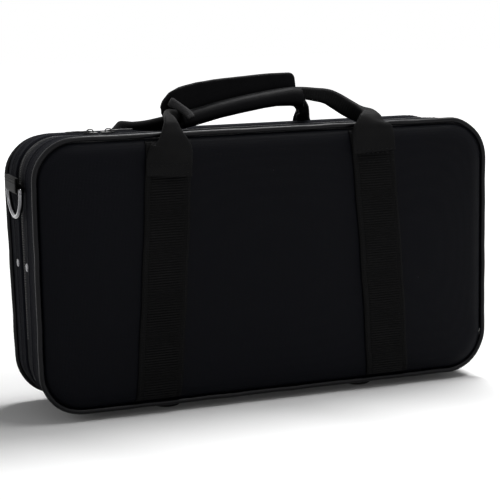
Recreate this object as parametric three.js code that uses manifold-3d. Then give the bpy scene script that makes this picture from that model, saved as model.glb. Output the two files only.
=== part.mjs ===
// A zip-up clarinet case: two moulded foam shells covered in cloth, standing on the long side that hinges.
// Millimetres. X runs along the case, Y from the front face to the back, Z up.
// The front shell holds the fitted tray, and the back shell is the lid, which swings back about the bottom edge.
import * as THREE from "three";
import { mergeVertices } from "three/addons/utils/BufferGeometryUtils.js";
import Module from "manifold-3d";

const wasm = await Module();
wasm.setup();

// Driving sizes of the two shells
const wallLength = 379;
const wallHeight = 209;
const cornerRadius = 32;
const frontDepth = 43;
const lidDepth = 31;
const lidTaper = 5;
const lidTopDrop = 3;
const wallThickness = 7;
const floorThickness = 5;
const edgeRounding = 2;
const seamGap = 7;
const wedgeTurn = THREE.MathUtils.degToRad(3.2);

// Clearances
const seatGap = 0.3;
const runningGap = 0.4;
const overrun = 4;

// How finely round stretches are drawn
const cornerSteps = 6;
const roundSides = 16;
const cordSides = 8;

// Padded face panels and the piping round them
const pipingRadius = 2;
const pipingOverhang = 0.8;
const rollWidth = 10;
const rollRise = 4.2;
const crownRise = 4.5;

// Webbing
const webbingWidth = 37;
const webbingThickness = 1.6;
const strapTop = 85;
const strapBottom = 99;
const patchDrop = 18;
const handleTurnDrop = 9.5;

// Carrying loops and the grip wrapped round them
const foldedWidth = 15;
const foldedThickness = 4.4;
const gripLeft = -64;
const gripRight = 47;
const gripLeftLift = 13;
const gripRightLift = 23.5;
const gripSetback = 34;
const gripHalfDepth = 8.5;
const gripHalfHeight = 11.3;
const gripWall = 2.8;
const finLeft = 8;
const finRight = 6;
const loopSetback = 1.6;
const loopSpacing = 5.2;

// Zip
const zipEnd = 50;
const tapeThickness = 1;
const tapeSink = 1.5;
const teethWidth = 1.6;
const teethThickness = 2.4;
const teethGap = 1.2;
const sliderLength = 11;
const sliderWidth = 10;
const sliderPlate = 1;
const dividerThickness = 0.5;
const dividerLength = 5;
const leftSliderPlace = -131;
const sliderSpacing = 15;
const bailWidth = 3;
const bailHeight = 2.2;
const bailWire = 0.9;
const pullerLength = 20;
const pullerWidth = 6;
const pullerThickness = 1;
const pullerBar = 1;

// Shoulder strap rings and their tabs
const ringWire = 4;
const ringInside = 39;
const ringDrop = 24;
const ringBend = 2.8;
const tabWidth = 37;
const tabThickness = 1.5;
const tabLap = 8;
const tabHeightShare = 0.8134;
const tabSetback = 47;

// Feet, rivets and stays
const footRadius = 11.5;
const footHeight = 8.5;
const footRounding = 2.5;
const footPlace = 84;
const rivetRadius = 3.4;
const rivetHead = 1.1;
const rivetHeight = 109;
const rivetInset = 9;
const stayWidth = 14;
const stayThickness = 1;
const stayPocket = 4;
const clothThickness = 1;

// Fitted tray: the hollows, each as long and as wide as the joint of the clarinet that lies in it
const trayRim = 2;
const trayMargin = 8;
const hollowFloor = 4;
const lowerJointLength = 262;
const lowerJointRadius = 22;
const barrelLength = 68;
const barrelRadius = 19;
const upperJointLength = 236;
const upperJointRadius = 20;
const bellLength = 106;
const bellMouthRadius = 43;
const mouthpieceLength = 96;
const mouthpieceRadius = 18;
const accessoryLength = 116;
const accessoryHeight = 52;
const accessoryRounding = 8;
const hollowSpacing = 9;
const liningThickness = 5;
const liningCrown = 2;
const liningRoll = 7;

// Places that follow from the driving sizes
const halfLength = wallLength / 2;
const halfHeight = wallHeight / 2;
const lidRim = frontDepth + seamGap;
const hingeY = frontDepth + seamGap / 2;
const hingePoint = new THREE.Vector3(0, hingeY, 0);
const panelInset = pipingRadius - pipingOverhang + seatGap;
const halfWedge = wedgeTurn / 2;
const quarterTurn = Math.PI / 2;
const tabHeight = wallHeight * tabHeightShare;
const strapLayer = 0;
const patchLayer = 1;

// Materials
function finish(color, roughness, metalness) {
  return () => new THREE.MeshStandardMaterial({ color, roughness, metalness });
}
const coverCloth = finish(0x15161a, 0.85, 0);
const panelCloth = finish(0x101216, 0.8, 0);
const pipingVinyl = finish(0x18191c, 0.35, 0);
const webbing = finish(0x121316, 0.75, 0);
const gripLeather = finish(0x1b1b1d, 0.6, 0);
const plush = finish(0x1c2233, 0.95, 0);
const zipCloth = finish(0x0d0d0f, 0.9, 0);
const zipCoil = finish(0x141416, 0.5, 0);
const darkZinc = finish(0x2c2c2e, 0.35, 0.9);
const chrome = finish(0xc8c9cc, 0.15, 1);
const rubber = finish(0x0c0c0c, 0.9, 0);

// Solids: a closed triangle list turned so that its faces point out
function orient(geometry) {
  const place = geometry.getAttribute("position");
  const turns = geometry.getIndex().array;
  const [a, b, c] = [new THREE.Vector3(), new THREE.Vector3(), new THREE.Vector3()];
  let volume = 0;
  for (let i = 0; i < turns.length; i += 3) {
    a.fromBufferAttribute(place, turns[i]);
    b.fromBufferAttribute(place, turns[i + 1]);
    c.fromBufferAttribute(place, turns[i + 2]);
    volume += a.dot(b.cross(c));
  }
  if (volume < 0) {
    for (let i = 0; i < turns.length; i += 3) {
      [turns[i + 1], turns[i + 2]] = [turns[i + 2], turns[i + 1]];
    }
  }
  return geometry;
}

// The triangles that close a ring: a fan about its middle, or for a hollow-sided section its own triangulation
function capTurns(ring, start, points, plan) {
  if (!plan) {
    const middle = new THREE.Vector3();
    ring.forEach((point) => middle.add(point));
    points.push(middle.divideScalar(ring.length));
    return ring.map((_, j) => [start + j, start + ((j + 1) % ring.length), points.length - 1]);
  }
  const sense = Math.sign(THREE.ShapeUtils.area(plan));
  return THREE.ShapeUtils.triangulateShape(plan, []).map(([a, b, c]) => {
    const same = Math.sign(THREE.ShapeUtils.area([plan[a], plan[b], plan[c]])) === sense;
    return same ? [start + a, start + b, start + c] : [start + a, start + c, start + b];
  });
}

// A skin through rings of points: open at both ends it is capped, and closed it runs round into itself.
function loft(rings, { closed = false, plan = null } = {}) {
  const count = rings[0].length;
  const points = rings.flat();
  const turns = [];
  const spans = closed ? rings.length : rings.length - 1;
  for (let i = 0; i < spans; i++) {
    const here = i * count;
    const there = ((i + 1) % rings.length) * count;
    for (let j = 0; j < count; j++) {
      const next = (j + 1) % count;
      turns.push(here + j, here + next, there + next, here + j, there + next, there + j);
    }
  }
  if (!closed) {
    const last = (rings.length - 1) * count;
    capTurns(rings[0], 0, points, plan).forEach(([a, b, c]) => turns.push(b, a, c));
    capTurns(rings.at(-1), last, points, plan).forEach((turn) => turns.push(...turn));
  }
  const geometry = new THREE.BufferGeometry().setFromPoints(points);
  geometry.setIndex(turns);
  return orient(geometry);
}

function solidOf(geometry) {
  const bare = geometry.clone();
  bare.deleteAttribute("normal");
  bare.deleteAttribute("uv");
  const merged = orient(mergeVertices(bare));
  const vertProperties = new Float32Array(merged.getAttribute("position").array);
  const triVerts = new Uint32Array(merged.getIndex().array);
  return new wasm.Manifold(new wasm.Mesh({ numProp: 3, vertProperties, triVerts }));
}

function geometryOf(solid) {
  const mesh = solid.getMesh();
  const geometry = new THREE.BufferGeometry();
  geometry.setAttribute("position", new THREE.BufferAttribute(mesh.vertProperties, 3));
  geometry.setIndex(new THREE.BufferAttribute(mesh.triVerts, 1));
  return geometry;
}

function joined(...geometries) {
  return geometryOf(geometries.map(solidOf).reduce((whole, next) => whole.add(next)));
}

function cut(geometry, ...tools) {
  const solid = tools.map(solidOf).reduce((rest, tool) => rest.subtract(tool), solidOf(geometry));
  return geometryOf(solid);
}

function boxAt(x, y, z, length, depth, height) {
  return new THREE.BoxGeometry(length, depth, height).translate(x, y, z);
}

// A flat plate drawn in X and Z and given its thickness along Y, from the front face back
function plate(shape, front, depth) {
  const spec = { depth, bevelEnabled: false, curveSegments: cornerSteps };
  return new THREE.ExtrudeGeometry(shape, spec).rotateX(quarterTurn).translate(0, front + depth, 0);
}

function roundedShape(left, bottom, length, height, radius) {
  const shape = new THREE.Shape();
  shape.moveTo(left + radius, bottom);
  shape.lineTo(left + length - radius, bottom);
  shape.absarc(left + length - radius, bottom + radius, radius, -quarterTurn, 0);
  shape.lineTo(left + length, bottom + height - radius);
  shape.absarc(left + length - radius, bottom + height - radius, radius, 0, quarterTurn);
  shape.lineTo(left + radius, bottom + height);
  shape.absarc(left + radius, bottom + height - radius, radius, quarterTurn, 2 * quarterTurn);
  shape.lineTo(left, bottom + radius);
  shape.absarc(left + radius, bottom + radius, radius, 2 * quarterTurn, 3 * quarterTurn);
  return shape;
}

// The outline that both shells share, drawn in by an inset: each point has its place and the way out from it.
const sharpShare = 0.1;
function outline(inset) {
  const radius = Math.max(cornerRadius - inset, cornerRadius * sharpShare);
  const corners = [
    [1, -1, -1],
    [1, 1, 0],
    [-1, 1, 1],
    [-1, -1, 2],
  ];
  return corners.flatMap(([sideX, sideZ, quarter]) =>
    Array.from({ length: cornerSteps + 1 }, (_, step) => {
      const angle = (quarter + step / cornerSteps) * quarterTurn;
      const outX = Math.cos(angle);
      const outZ = Math.sin(angle);
      const x = sideX * (halfLength - inset - radius) + radius * outX;
      const z = halfHeight + sideZ * (halfHeight - inset - radius) + radius * outZ;
      return { x, z, outX, outZ };
    }),
  );
}

// Faces: where a point of the front or of the lid's back lies, by its place across the face and its rise off it
function lidDepthAt(z) {
  return lidDepth - lidTaper * (1 - z / wallHeight);
}
const frontFace = (x, z, rise) => new THREE.Vector3(x, -rise, z);
const backFace = (x, z, rise) => {
  return new THREE.Vector3(x, lidRim + lidDepthAt(z) + rise, z * (1 - lidTopDrop / wallHeight));
};

function faceRing(face, inset, rise) {
  return outline(inset).map(({ x, z }) => face(x, z, rise));
}

function rimRing(inset, y) {
  return outline(inset).map(({ x, z }) => new THREE.Vector3(x, y, z));
}

// A moulded shell: an open box with a rounded outer edge, from its face to its rim
function shellBody(face, rim) {
  return loft([
    faceRing(face, edgeRounding, 0),
    faceRing(face, 0, -edgeRounding),
    rimRing(0, rim),
    rimRing(wallThickness, rim),
    faceRing(face, wallThickness, -floorThickness),
  ]);
}

// A pad lying on a face: it rolls over at its edge and then crowns gently to its middle.
const panelPad = { inset: panelInset, roll: rollWidth, rise: rollRise, crown: crownRise };
const liningPad = { inset: wallThickness + seatGap, roll: liningRoll, rise: liningThickness, crown: liningCrown };
function padRise(pad, inset) {
  const roll = Math.min(inset / pad.roll, 1);
  const dome = Math.min(inset / (halfHeight - pad.inset), 1);
  return seatGap + pad.rise * Math.sqrt(1 - (1 - roll) ** 2) + pad.crown * (1 - (1 - dome) ** 2);
}
const rollShares = [0.03, 0.15, 0.4, 1];
const domeShares = [0.3, 0.55, 0.85];
function padStops(pad) {
  const rolls = rollShares.map((share) => share * pad.roll);
  return [...rolls, ...domeShares.map((share) => share * (halfHeight - pad.inset))];
}
function padBody(face, pad) {
  const rings = padStops(pad).map((stop) => faceRing(face, pad.inset + stop, padRise(pad, stop)));
  return loft([faceRing(face, pad.inset, seatGap), ...rings]);
}

function pipingLoop(face) {
  const rise = pipingRadius + seatGap;
  const rings = outline(-pipingOverhang).map(({ x, z, outX, outZ }) =>
    Array.from({ length: cordSides }, (_, side) => {
      const angle = (side / cordSides) * 4 * quarterTurn;
      const out = pipingRadius * Math.cos(angle);
      return face(x + outX * out, z + outZ * out, rise + pipingRadius * Math.sin(angle));
    }),
  );
  return loft(rings, { closed: true });
}

// Flat webbing laid on a panel between two heights, one strap thickness or more above the cloth
function strapMiddle(z) {
  return strapBottom + (strapTop - strapBottom) * (z / wallHeight);
}
function webbingRise(z, layer) {
  const inset = Math.min(z, wallHeight - z) - panelInset;
  return padRise(panelPad, inset) + seatGap + layer * (webbingThickness + seatGap);
}
function laidWebbing(face, side, low, high, layer) {
  const stops = [0, ...padStops(panelPad)].map((stop) => panelInset + stop);
  const heights = stops.flatMap((stop) => [stop, wallHeight - stop]);
  const inside = heights.filter((z) => z > low && z < high);
  const stations = [low, ...inside.sort((a, b) => a - b), high];
  const rings = stations.map((z) => {
    const left = side * strapMiddle(z) - webbingWidth / 2;
    const right = left + webbingWidth;
    const under = webbingRise(z, layer);
    const top = under + webbingThickness;
    return [face(left, z, under), face(right, z, under), face(right, z, top), face(left, z, top)];
  });
  return loft(rings);
}

// A band that follows the outline from one zip end up over the top and down to the other
function zipPath() {
  const arcs = outline(0).slice(cornerSteps + 1, 3 * (cornerSteps + 1));
  const first = { x: halfLength, z: zipEnd, outX: 1, outZ: 0 };
  const last = { x: -halfLength, z: zipEnd, outX: -1, outZ: 0 };
  return [first, ...arcs, last];
}
function zipBand(lowOut, highOut, near, far) {
  const rings = zipPath().map(({ x, z, outX, outZ }) => {
    const at = (out, y) => new THREE.Vector3(x + outX * out, y, z + outZ * out);
    return [at(lowOut, near(z)), at(highOut, near(z)), at(highOut, far(z)), at(lowOut, far(z))];
  });
  return loft(rings);
}
// Half of the zip's width at a height, which grows with the wedge between the shells
function halfBand(z) {
  return seamGap / 2 + z * Math.tan(halfWedge);
}
const teethOut = (teethThickness - tapeThickness) / 2 - tapeSink;
const teethIn = teethOut - teethThickness;

function frontTape() {
  const far = (z) => hingeY + halfBand(z) - seamGap / 2 - teethGap / 2 - teethWidth - seatGap;
  return zipBand(-tapeSink - tapeThickness, -tapeSink, () => frontDepth + seatGap, far);
}
function frontTeeth() {
  const far = (z) => hingeY + halfBand(z) - seamGap / 2 - teethGap / 2;
  return zipBand(teethIn, teethOut, (z) => far(z) - teethWidth, far);
}
function lidTape() {
  const near = (z) => hingeY - halfBand(z) + seamGap / 2 + teethGap / 2 + teethWidth + seatGap;
  return zipBand(-tapeSink - tapeThickness, -tapeSink, near, () => lidRim - seatGap);
}
function lidTeeth() {
  const near = (z) => hingeY - halfBand(z) + seamGap / 2 + teethGap / 2;
  return zipBand(teethIn, teethOut, near, (z) => near(z) + teethWidth);
}

// The zip slider on the top run: an outer and an inner plate with the divider between the rows of teeth
const topBandMiddle = hingeY + wallHeight * Math.tan(halfWedge);
const noseShare = 0.35;
function zipSlider() {
  const half = sliderWidth / 2;
  const nose = sliderLength * noseShare;
  const planShape = new THREE.Shape();
  planShape.moveTo(-sliderLength / 2, -half);
  planShape.lineTo(sliderLength / 2 - nose, -half);
  planShape.lineTo(sliderLength / 2, -half * noseShare);
  planShape.lineTo(sliderLength / 2, half * noseShare);
  planShape.lineTo(sliderLength / 2 - nose, half);
  planShape.lineTo(-sliderLength / 2, half);
  const platePlan = { depth: sliderPlate, bevelEnabled: false };
  const outer = new THREE.ExtrudeGeometry(planShape, platePlan).translate(0, 0, teethOut + runningGap);
  const innerTop = teethIn - runningGap;
  const inner = new THREE.ExtrudeGeometry(planShape, platePlan).translate(0, 0, innerTop - sliderPlate);
  const reach = teethThickness + 2 * runningGap + sliderPlate;
  const dividerMiddle = (teethOut + teethIn) / 2;
  const divider = boxAt(0, 0, dividerMiddle, dividerLength, dividerThickness, reach);
  const bailBase = teethOut + runningGap + sliderPlate / 2;
  const bailPlan = new THREE.Shape();
  bailPlan.moveTo(-bailWidth, 0);
  bailPlan.lineTo(bailWidth, 0);
  bailPlan.lineTo(bailWidth, bailHeight);
  bailPlan.lineTo(bailWidth - bailWire, bailHeight + bailWire);
  bailPlan.lineTo(bailWire - bailWidth, bailHeight + bailWire);
  bailPlan.lineTo(-bailWidth, bailHeight);
  const bailSpec = { depth: bailWire * 2, bevelEnabled: false };
  const bail = new THREE.ExtrudeGeometry(bailPlan, bailSpec);
  bail.rotateX(quarterTurn).translate(0, bailWire, bailBase);
  const eyeMiddle = bailBase + (bailHeight + sliderPlate / 2) / 2;
  const eye = boxAt(0, 0, eyeMiddle, 2 * (bailWidth - bailWire), overrun, bailHeight - sliderPlate / 2);
  return cut(joined(outer, inner, divider, bail), eye);
}
const bailMiddle = teethOut + runningGap + sliderPlate + (bailHeight - sliderPlate / 2) / 2;

// The puller: a flat tongue whose bar turns in the bail, waisted and rounded at its free end
const pullerEyeShare = 0.28;
const pullerWaistShare = 0.7;
function zipPuller() {
  const half = pullerWidth / 2;
  const waist = half * pullerWaistShare;
  const eyeEnd = pullerLength * pullerEyeShare;
  const slotHalf = bailWire + runningGap;
  const plan = new THREE.Shape();
  plan.moveTo(-pullerBar / 2, -half);
  plan.lineTo(eyeEnd, -half);
  plan.lineTo(eyeEnd + half, -waist);
  plan.lineTo(pullerLength - pullerWidth, -waist);
  plan.lineTo(pullerLength - half, -half);
  plan.absarc(pullerLength - half, 0, half, -quarterTurn, quarterTurn);
  plan.lineTo(pullerLength - pullerWidth, waist);
  plan.lineTo(eyeEnd + half, waist);
  plan.lineTo(eyeEnd, half);
  plan.lineTo(-pullerBar / 2, half);
  const eye = new THREE.Path();
  eye.moveTo(pullerBar / 2, -slotHalf);
  eye.lineTo(eyeEnd, -slotHalf);
  eye.lineTo(eyeEnd, slotHalf);
  eye.lineTo(pullerBar / 2, slotHalf);
  plan.holes.push(eye);
  const spec = { depth: pullerThickness, bevelEnabled: false, curveSegments: cordSides };
  return new THREE.ExtrudeGeometry(plan, spec).translate(0, 0, -pullerThickness / 2);
}

// The cloth hinge along the bottom edge, which runs up round both corners to the zip ends
function hingeCloth() {
  const corner = cornerSteps + 1;
  const arcs = outline(0);
  const first = { x: -halfLength, z: zipEnd - seatGap, outX: -1, outZ: 0 };
  const last = { x: halfLength, z: zipEnd - seatGap, outX: 1, outZ: 0 };
  const path = [first, ...arcs.slice(3 * corner), ...arcs.slice(0, corner), last];
  const highOut = -tapeSink;
  const lowOut = highOut - clothThickness;
  const rings = path.map(({ x, z, outX, outZ }) => {
    const at = (out, y) => new THREE.Vector3(x + outX * out, y, z + outZ * out);
    const near = frontDepth + seatGap;
    const far = hingeY + halfBand(z) + z * Math.tan(halfWedge) - seatGap;
    return [at(lowOut, near), at(highOut, near), at(highOut, far), at(lowOut, far)];
  });
  return loft(rings);
}

// Webbing that runs free: rings of four points round a line of stations, each with its own way across
function freeWebbing(stations) {
  const rings = stations.map(({ place, across, width, thickness }, i) => {
    const before = stations[Math.max(i - 1, 0)].place;
    const after = stations[Math.min(i + 1, stations.length - 1)].place;
    const along = after.clone().sub(before).normalize();
    const wide = across.clone().addScaledVector(along, -across.dot(along)).normalize();
    const thick = along.clone().cross(wide);
    const corner = (a, b) =>
      place
        .clone()
        .addScaledVector(wide, (a * width) / 2)
        .addScaledVector(thick, (b * thickness) / 2);
    return [corner(-1, -1), corner(1, -1), corner(1, 1), corner(-1, 1)];
  });
  return loft(rings);
}

// A carrying loop: both legs stand up from their stitched ends, fold in half and meet in the grip.
// Each row of shares is a station of a leg: across, along the depth, up, turned and folded.
const frontLegShares = [
  [0, 0, 0, 0, 0],
  [0, 0.02, 0.54, 0, 0.08],
  [0.04, 0.2, 0.9, 0.06, 0.25],
  [0.2, 0.5, 1, 0.35, 0.6],
  [0.55, 0.82, 1.02, 0.75, 0.9],
  [1, 1, 1, 1, 1],
];
const backLegShares = [
  [0, 0, 0, 0, 0],
  [0, 0.02, 0.48, 0, 0.08],
  [0.02, 0.13, 0.74, 0, 0.2],
  [0.06, 0.45, 0.88, 0.05, 0.4],
  [0.2, 0.74, 0.98, 0.2, 0.7],
  [0.6, 0.94, 1.02, 0.75, 0.95],
  [1, 1, 1, 1, 1],
];
const handleTurnHeight = wallHeight - handleTurnDrop;
const gripAxis = (x) => {
  const share = (x - gripLeft) / (gripRight - gripLeft);
  return wallHeight + gripLeftLift + share * (gripRightLift - gripLeftLift);
};
function legStations(root, end, side, shares) {
  return shares.map(([across, deep, up, turn, fold]) => {
    const place = new THREE.Vector3(
      root.x + across * (end.x - root.x),
      root.y + deep * (end.y - root.y),
      root.z + up * (end.z - root.z),
    );
    const angle = turn * quarterTurn;
    const wideDirection = new THREE.Vector3(-side * Math.cos(angle), 0, -Math.sin(angle));
    const width = webbingWidth + fold * (foldedWidth - webbingWidth);
    const thickness = webbingThickness + fold * (foldedThickness - webbingThickness);
    return { place, across: wideDirection, width, thickness };
  });
}
function carryingLoop(rootOf, setback, shares) {
  const endOf = (x) => new THREE.Vector3(x, setback, gripAxis(x));
  const leftLeg = legStations(rootOf(-1), endOf(gripLeft), -1, shares);
  const rightLeg = legStations(rootOf(1), endOf(gripRight), 1, shares);
  return freeWebbing([...leftLeg, ...rightLeg.reverse()]);
}
function rootOnFace(face, side) {
  const rise = webbingRise(handleTurnHeight, patchLayer) + webbingThickness / 2;
  return face(side * strapMiddle(handleTurnHeight), handleTurnHeight + seatGap, rise);
}

// The grip: a padded wrap round the front loop, open towards the back, its two edges standing up as a fin.
// Each pair is a point of its section, as shares of its half depth and half height.
const gripOuterShares = [
  [0.12, -1],
  [-0.35, -0.96],
  [-0.8, -0.6],
  [-1, 0],
  [-0.9, 0.6],
  [-0.6, 0.86],
];
function gripSection(x, swell) {
  const share = (x - gripLeft) / (gripRight - gripLeft);
  const fin = finLeft + share * (finRight - finLeft);
  const depth = gripHalfDepth * swell;
  const height = gripHalfHeight * swell;
  const outer = gripOuterShares.map(([u, v]) => new THREE.Vector2(u * depth, v * height));
  outer.push(new THREE.Vector2(gripOuterShares.at(-1)[0] * depth + gripWall / 2, height + fin));
  const inner = outer.map((point, i) => {
    const before = outer[Math.max(i - 1, 0)];
    const after = outer[Math.min(i + 1, outer.length - 1)];
    const along = after.clone().sub(before).normalize();
    return new THREE.Vector2(point.x + along.y * gripWall, point.y - along.x * gripWall);
  });
  return [...outer, ...inner.reverse()];
}
const gripStationShares = [0, 0.05, 0.25, 0.5, 0.75, 0.95, 1];
const gripSwellShares = [0.93, 0.98, 1, 1, 1, 0.98, 0.93];
function gripWrap() {
  const rings = gripStationShares.map((share, i) => {
    const x = gripLeft + share * (gripRight - gripLeft);
    const section = gripSection(x, gripSwellShares[i]);
    return section.map((point) => new THREE.Vector3(x, gripSetback + point.x, gripAxis(x) + point.y));
  });
  return loft(rings, { plan: gripSection(gripLeft, 1) });
}

// A shoulder strap ring: a D of round wire, its straight bar along the depth and its bow hanging down
const bowSteps = 12;
const bendSteps = 3;
function strapRing() {
  const half = (ringInside + ringWire) / 2;
  const drop = ringDrop - ringWire / 2;
  const bend = ringBend;
  const arc = (middleY, middleZ, radiusY, radiusZ, from, steps) =>
    Array.from({ length: steps + 1 }, (_, i) => {
      const angle = (from + i / steps) * quarterTurn;
      return new THREE.Vector3(0, middleY + radiusY * Math.cos(angle), middleZ + radiusZ * Math.sin(angle));
    });
  const path = [
    ...arc(half - bend, -bend, bend, bend, 0, bendSteps).reverse(),
    ...arc(0, -bend, half, drop - bend, -1, bowSteps / 2).reverse().slice(1),
    ...arc(0, -bend, half, drop - bend, -2, bowSteps / 2).reverse().slice(1, -1),
    ...arc(bend - half, -bend, bend, bend, 1, bendSteps).reverse(),
  ];
  const rings = path.map((point, i) => {
    const before = path[(i + path.length - 1) % path.length];
    const after = path[(i + 1) % path.length];
    const along = after.clone().sub(before).normalize();
    const out = new THREE.Vector3(0, along.z, -along.y);
    return Array.from({ length: cordSides }, (_, side) => {
      const angle = (side / cordSides) * 4 * quarterTurn;
      const shift = out.clone().multiplyScalar((Math.cos(angle) * ringWire) / 2);
      shift.x = (Math.sin(angle) * ringWire) / 2;
      return point.clone().add(shift);
    });
  });
  return loft(rings, { closed: true });
}

// The tab that holds a ring: webbing looped round the bar and lapped flat above it, drawn in X and Z
const tabBore = ringWire / 2 + seatGap;
const tabLoop = tabBore + tabThickness;
const tabLift = 3 * seatGap;
const ringOut = tabLift + tabLoop;
function ringTab() {
  const lap = 2 * tabThickness + seatGap;
  const shape = new THREE.Shape();
  const meet = Math.acos((lap - tabLoop) / tabLoop);
  shape.moveTo(-tabLoop, 0);
  shape.lineTo(-tabLoop, tabLoop + tabLap);
  shape.lineTo(lap - tabLoop, tabLoop + tabLap);
  shape.absarc(0, 0, tabLoop, meet, -2 * quarterTurn, true);
  const bore = new THREE.Path();
  bore.absarc(0, 0, tabBore, 0, 4 * quarterTurn);
  shape.holes.push(bore);
  const spec = { depth: tabWidth, bevelEnabled: false, curveSegments: roundSides };
  return new THREE.ExtrudeGeometry(shape, spec).rotateX(quarterTurn).translate(0, tabWidth / 2, 0);
}

// A foot: a low rubber stud with a rounded edge, standing down from the wall
function foot(height) {
  const profile = [
    new THREE.Vector2(0, -height),
    new THREE.Vector2(footRadius - footRounding, -height),
    new THREE.Vector2(footRadius, footRounding - height),
    new THREE.Vector2(footRadius, 0),
    new THREE.Vector2(0, 0),
  ];
  return new THREE.LatheGeometry(profile, roundSides).rotateX(quarterTurn);
}

// A rivet that fixes a stay: a domed head outside and a shank through the wall, drawn along X
const shankShare = 0.4;
const shankRadius = rivetRadius * shankShare;
const domeSteps = 4;
function rivet() {
  const dome = Array.from({ length: domeSteps + 1 }, (_, i) => {
    const angle = (i / domeSteps) * quarterTurn;
    return new THREE.Vector2(rivetRadius * Math.cos(angle), seatGap + rivetHead * Math.sin(angle));
  });
  const profile = [
    new THREE.Vector2(0, -wallThickness),
    new THREE.Vector2(shankRadius, -wallThickness),
    new THREE.Vector2(shankRadius, seatGap),
    ...dome,
  ];
  return new THREE.LatheGeometry(profile, roundSides).rotateZ(-quarterTurn);
}
function rivetBore(side, y) {
  const radius = shankRadius + seatGap;
  const bore = new THREE.CylinderGeometry(radius, radius, wallThickness + 2 * overrun, roundSides);
  return bore.rotateZ(quarterTurn).translate(side * (halfLength - wallThickness / 2), y, rivetHeight);
}

// A hollow of the tray: the joint's own round shape pressed in, and open above to let it out
const trayTop = frontDepth - trayRim;
const trayFloor = floorThickness + seatGap;
const hollowDepth = trayTop - trayFloor - hollowFloor;
function jointHollow(left, middle, shares, length, radius) {
  const axisDepth = hollowDepth - radius;
  const profile = shares.map(([along, wide]) => new THREE.Vector2(wide * radius, along * length));
  const nearEnd = new THREE.Vector2(0, 0);
  const farEnd = new THREE.Vector2(0, length);
  const round = new THREE.LatheGeometry([nearEnd, ...profile, farEnd], 2 * roundSides);
  round.rotateZ(-quarterTurn).translate(left, trayTop - axisDepth, middle);
  if (axisDepth < 0) {
    return round;
  }
  const plan = new THREE.Shape();
  const edge = shares.map(([along, wide]) => [left + along * length, wide * radius]);
  edge.forEach(([x, half], i) => (i ? plan.lineTo(x, middle + half) : plan.moveTo(x, middle + half)));
  edge.reverse().forEach(([x, half]) => plan.lineTo(x, middle - half));
  return joined(round, plate(plan, trayTop - axisDepth, axisDepth + overrun));
}
// Each pair is a point of a joint's side, as shares of the hollow's length and radius.
const straightShares = [
  [0, 0.62],
  [0.03, 0.8],
  [0.1, 0.86],
  [0.2, 1],
  [0.82, 1],
  [0.9, 0.86],
  [0.97, 0.8],
  [1, 0.62],
];
const barrelShares = [
  [0, 0.78],
  [0.12, 0.9],
  [0.5, 1],
  [0.88, 0.9],
  [1, 0.78],
];
const mouthpieceShares = [
  [0, 0.5],
  [0.15, 0.66],
  [0.5, 0.9],
  [0.75, 1],
  [0.9, 1],
  [1, 0.8],
];
const bellShares = [
  [0, 0.44],
  [0.1, 0.5],
  [0.45, 0.53],
  [0.65, 0.62],
  [0.82, 0.78],
  [0.94, 0.96],
  [1, 1],
];
function instrumentTray() {
  const inset = wallThickness + seatGap;
  const left = inset + trayMargin - halfLength;
  const right = -left;
  const low = inset + trayMargin;
  const high = wallHeight - low;
  const lowerMiddle = low + lowerJointRadius;
  const upperMiddle = lowerMiddle + lowerJointRadius + hollowSpacing + upperJointRadius;
  const plan = new THREE.Shape(outline(inset).map(({ x, z }) => new THREE.Vector2(x, z)));
  const block = plate(plan, trayFloor, trayTop - trayFloor);
  const well = roundedShape(left, high - accessoryHeight, accessoryLength, accessoryHeight, accessoryRounding);
  const mouthpieceLeft = left + accessoryLength + hollowSpacing;
  const pocketDepth = trayTop - (frontDepth - rivetInset) + stayWidth / 2;
  const pockets = [-1, 1].map((side) =>
    boxAt(
      side * (halfLength - inset),
      trayTop + overrun / 2 - pocketDepth / 2,
      rivetHeight,
      2 * stayPocket,
      pocketDepth + overrun,
      stayWidth + 2 * stayThickness,
    ),
  );
  return cut(
    block,
    jointHollow(left, lowerMiddle, straightShares, lowerJointLength, lowerJointRadius),
    jointHollow(left + lowerJointLength + hollowSpacing, lowerMiddle, barrelShares, barrelLength, barrelRadius),
    jointHollow(left, upperMiddle, straightShares, upperJointLength, upperJointRadius),
    jointHollow(right - bellLength, high - bellMouthRadius, bellShares, bellLength, bellMouthRadius),
    jointHollow(mouthpieceLeft, high - accessoryHeight / 2, mouthpieceShares, mouthpieceLength, mouthpieceRadius),
    plate(well, trayTop - hollowDepth, hollowDepth + overrun),
    ...pockets,
  );
}

// A lid stay: a ribbon from the front shell's wall to the lid's, which the closing lid folds up
function lidStay(side) {
  const bandWidth = seamGap + rivetHeight * Math.tan(wedgeTurn);
  const length = bandWidth + 2 * rivetInset + stayWidth / 2;
  const middle = frontDepth + bandWidth / 2;
  const out = halfLength - wallThickness - seatGap - stayThickness / 2;
  return boxAt(side * out, middle, rivetHeight, stayThickness, length, stayWidth);
}

// Assembly: what rides on the lid is drawn as if the shells were parallel and turned back by the wedge.
const clarinetCase = new THREE.Group();
const lid = new THREE.Group();
lid.position.copy(hingePoint);
lid.rotation.x = -wedgeTurn;
clarinetCase.add(lid);
lid.updateMatrixWorld(true);
const fromLid = (point) => lid.localToWorld(point.sub(hingePoint));

function place(name, geometry, material, { x = 0, y = 0, z = 0, turn = 0 } = {}) {
  const mesh = new THREE.Mesh(geometry, material());
  mesh.name = name;
  mesh.position.set(x, y, z);
  mesh.rotation.z = turn;
  clarinetCase.add(mesh);
  return mesh;
}
function placeOnLid(name, geometry, material, spot = {}) {
  const mesh = place(name, geometry, material, spot);
  mesh.position.sub(hingePoint);
  lid.add(mesh);
}
const sides = [
  ["left", -1],
  ["right", 1],
];

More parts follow.
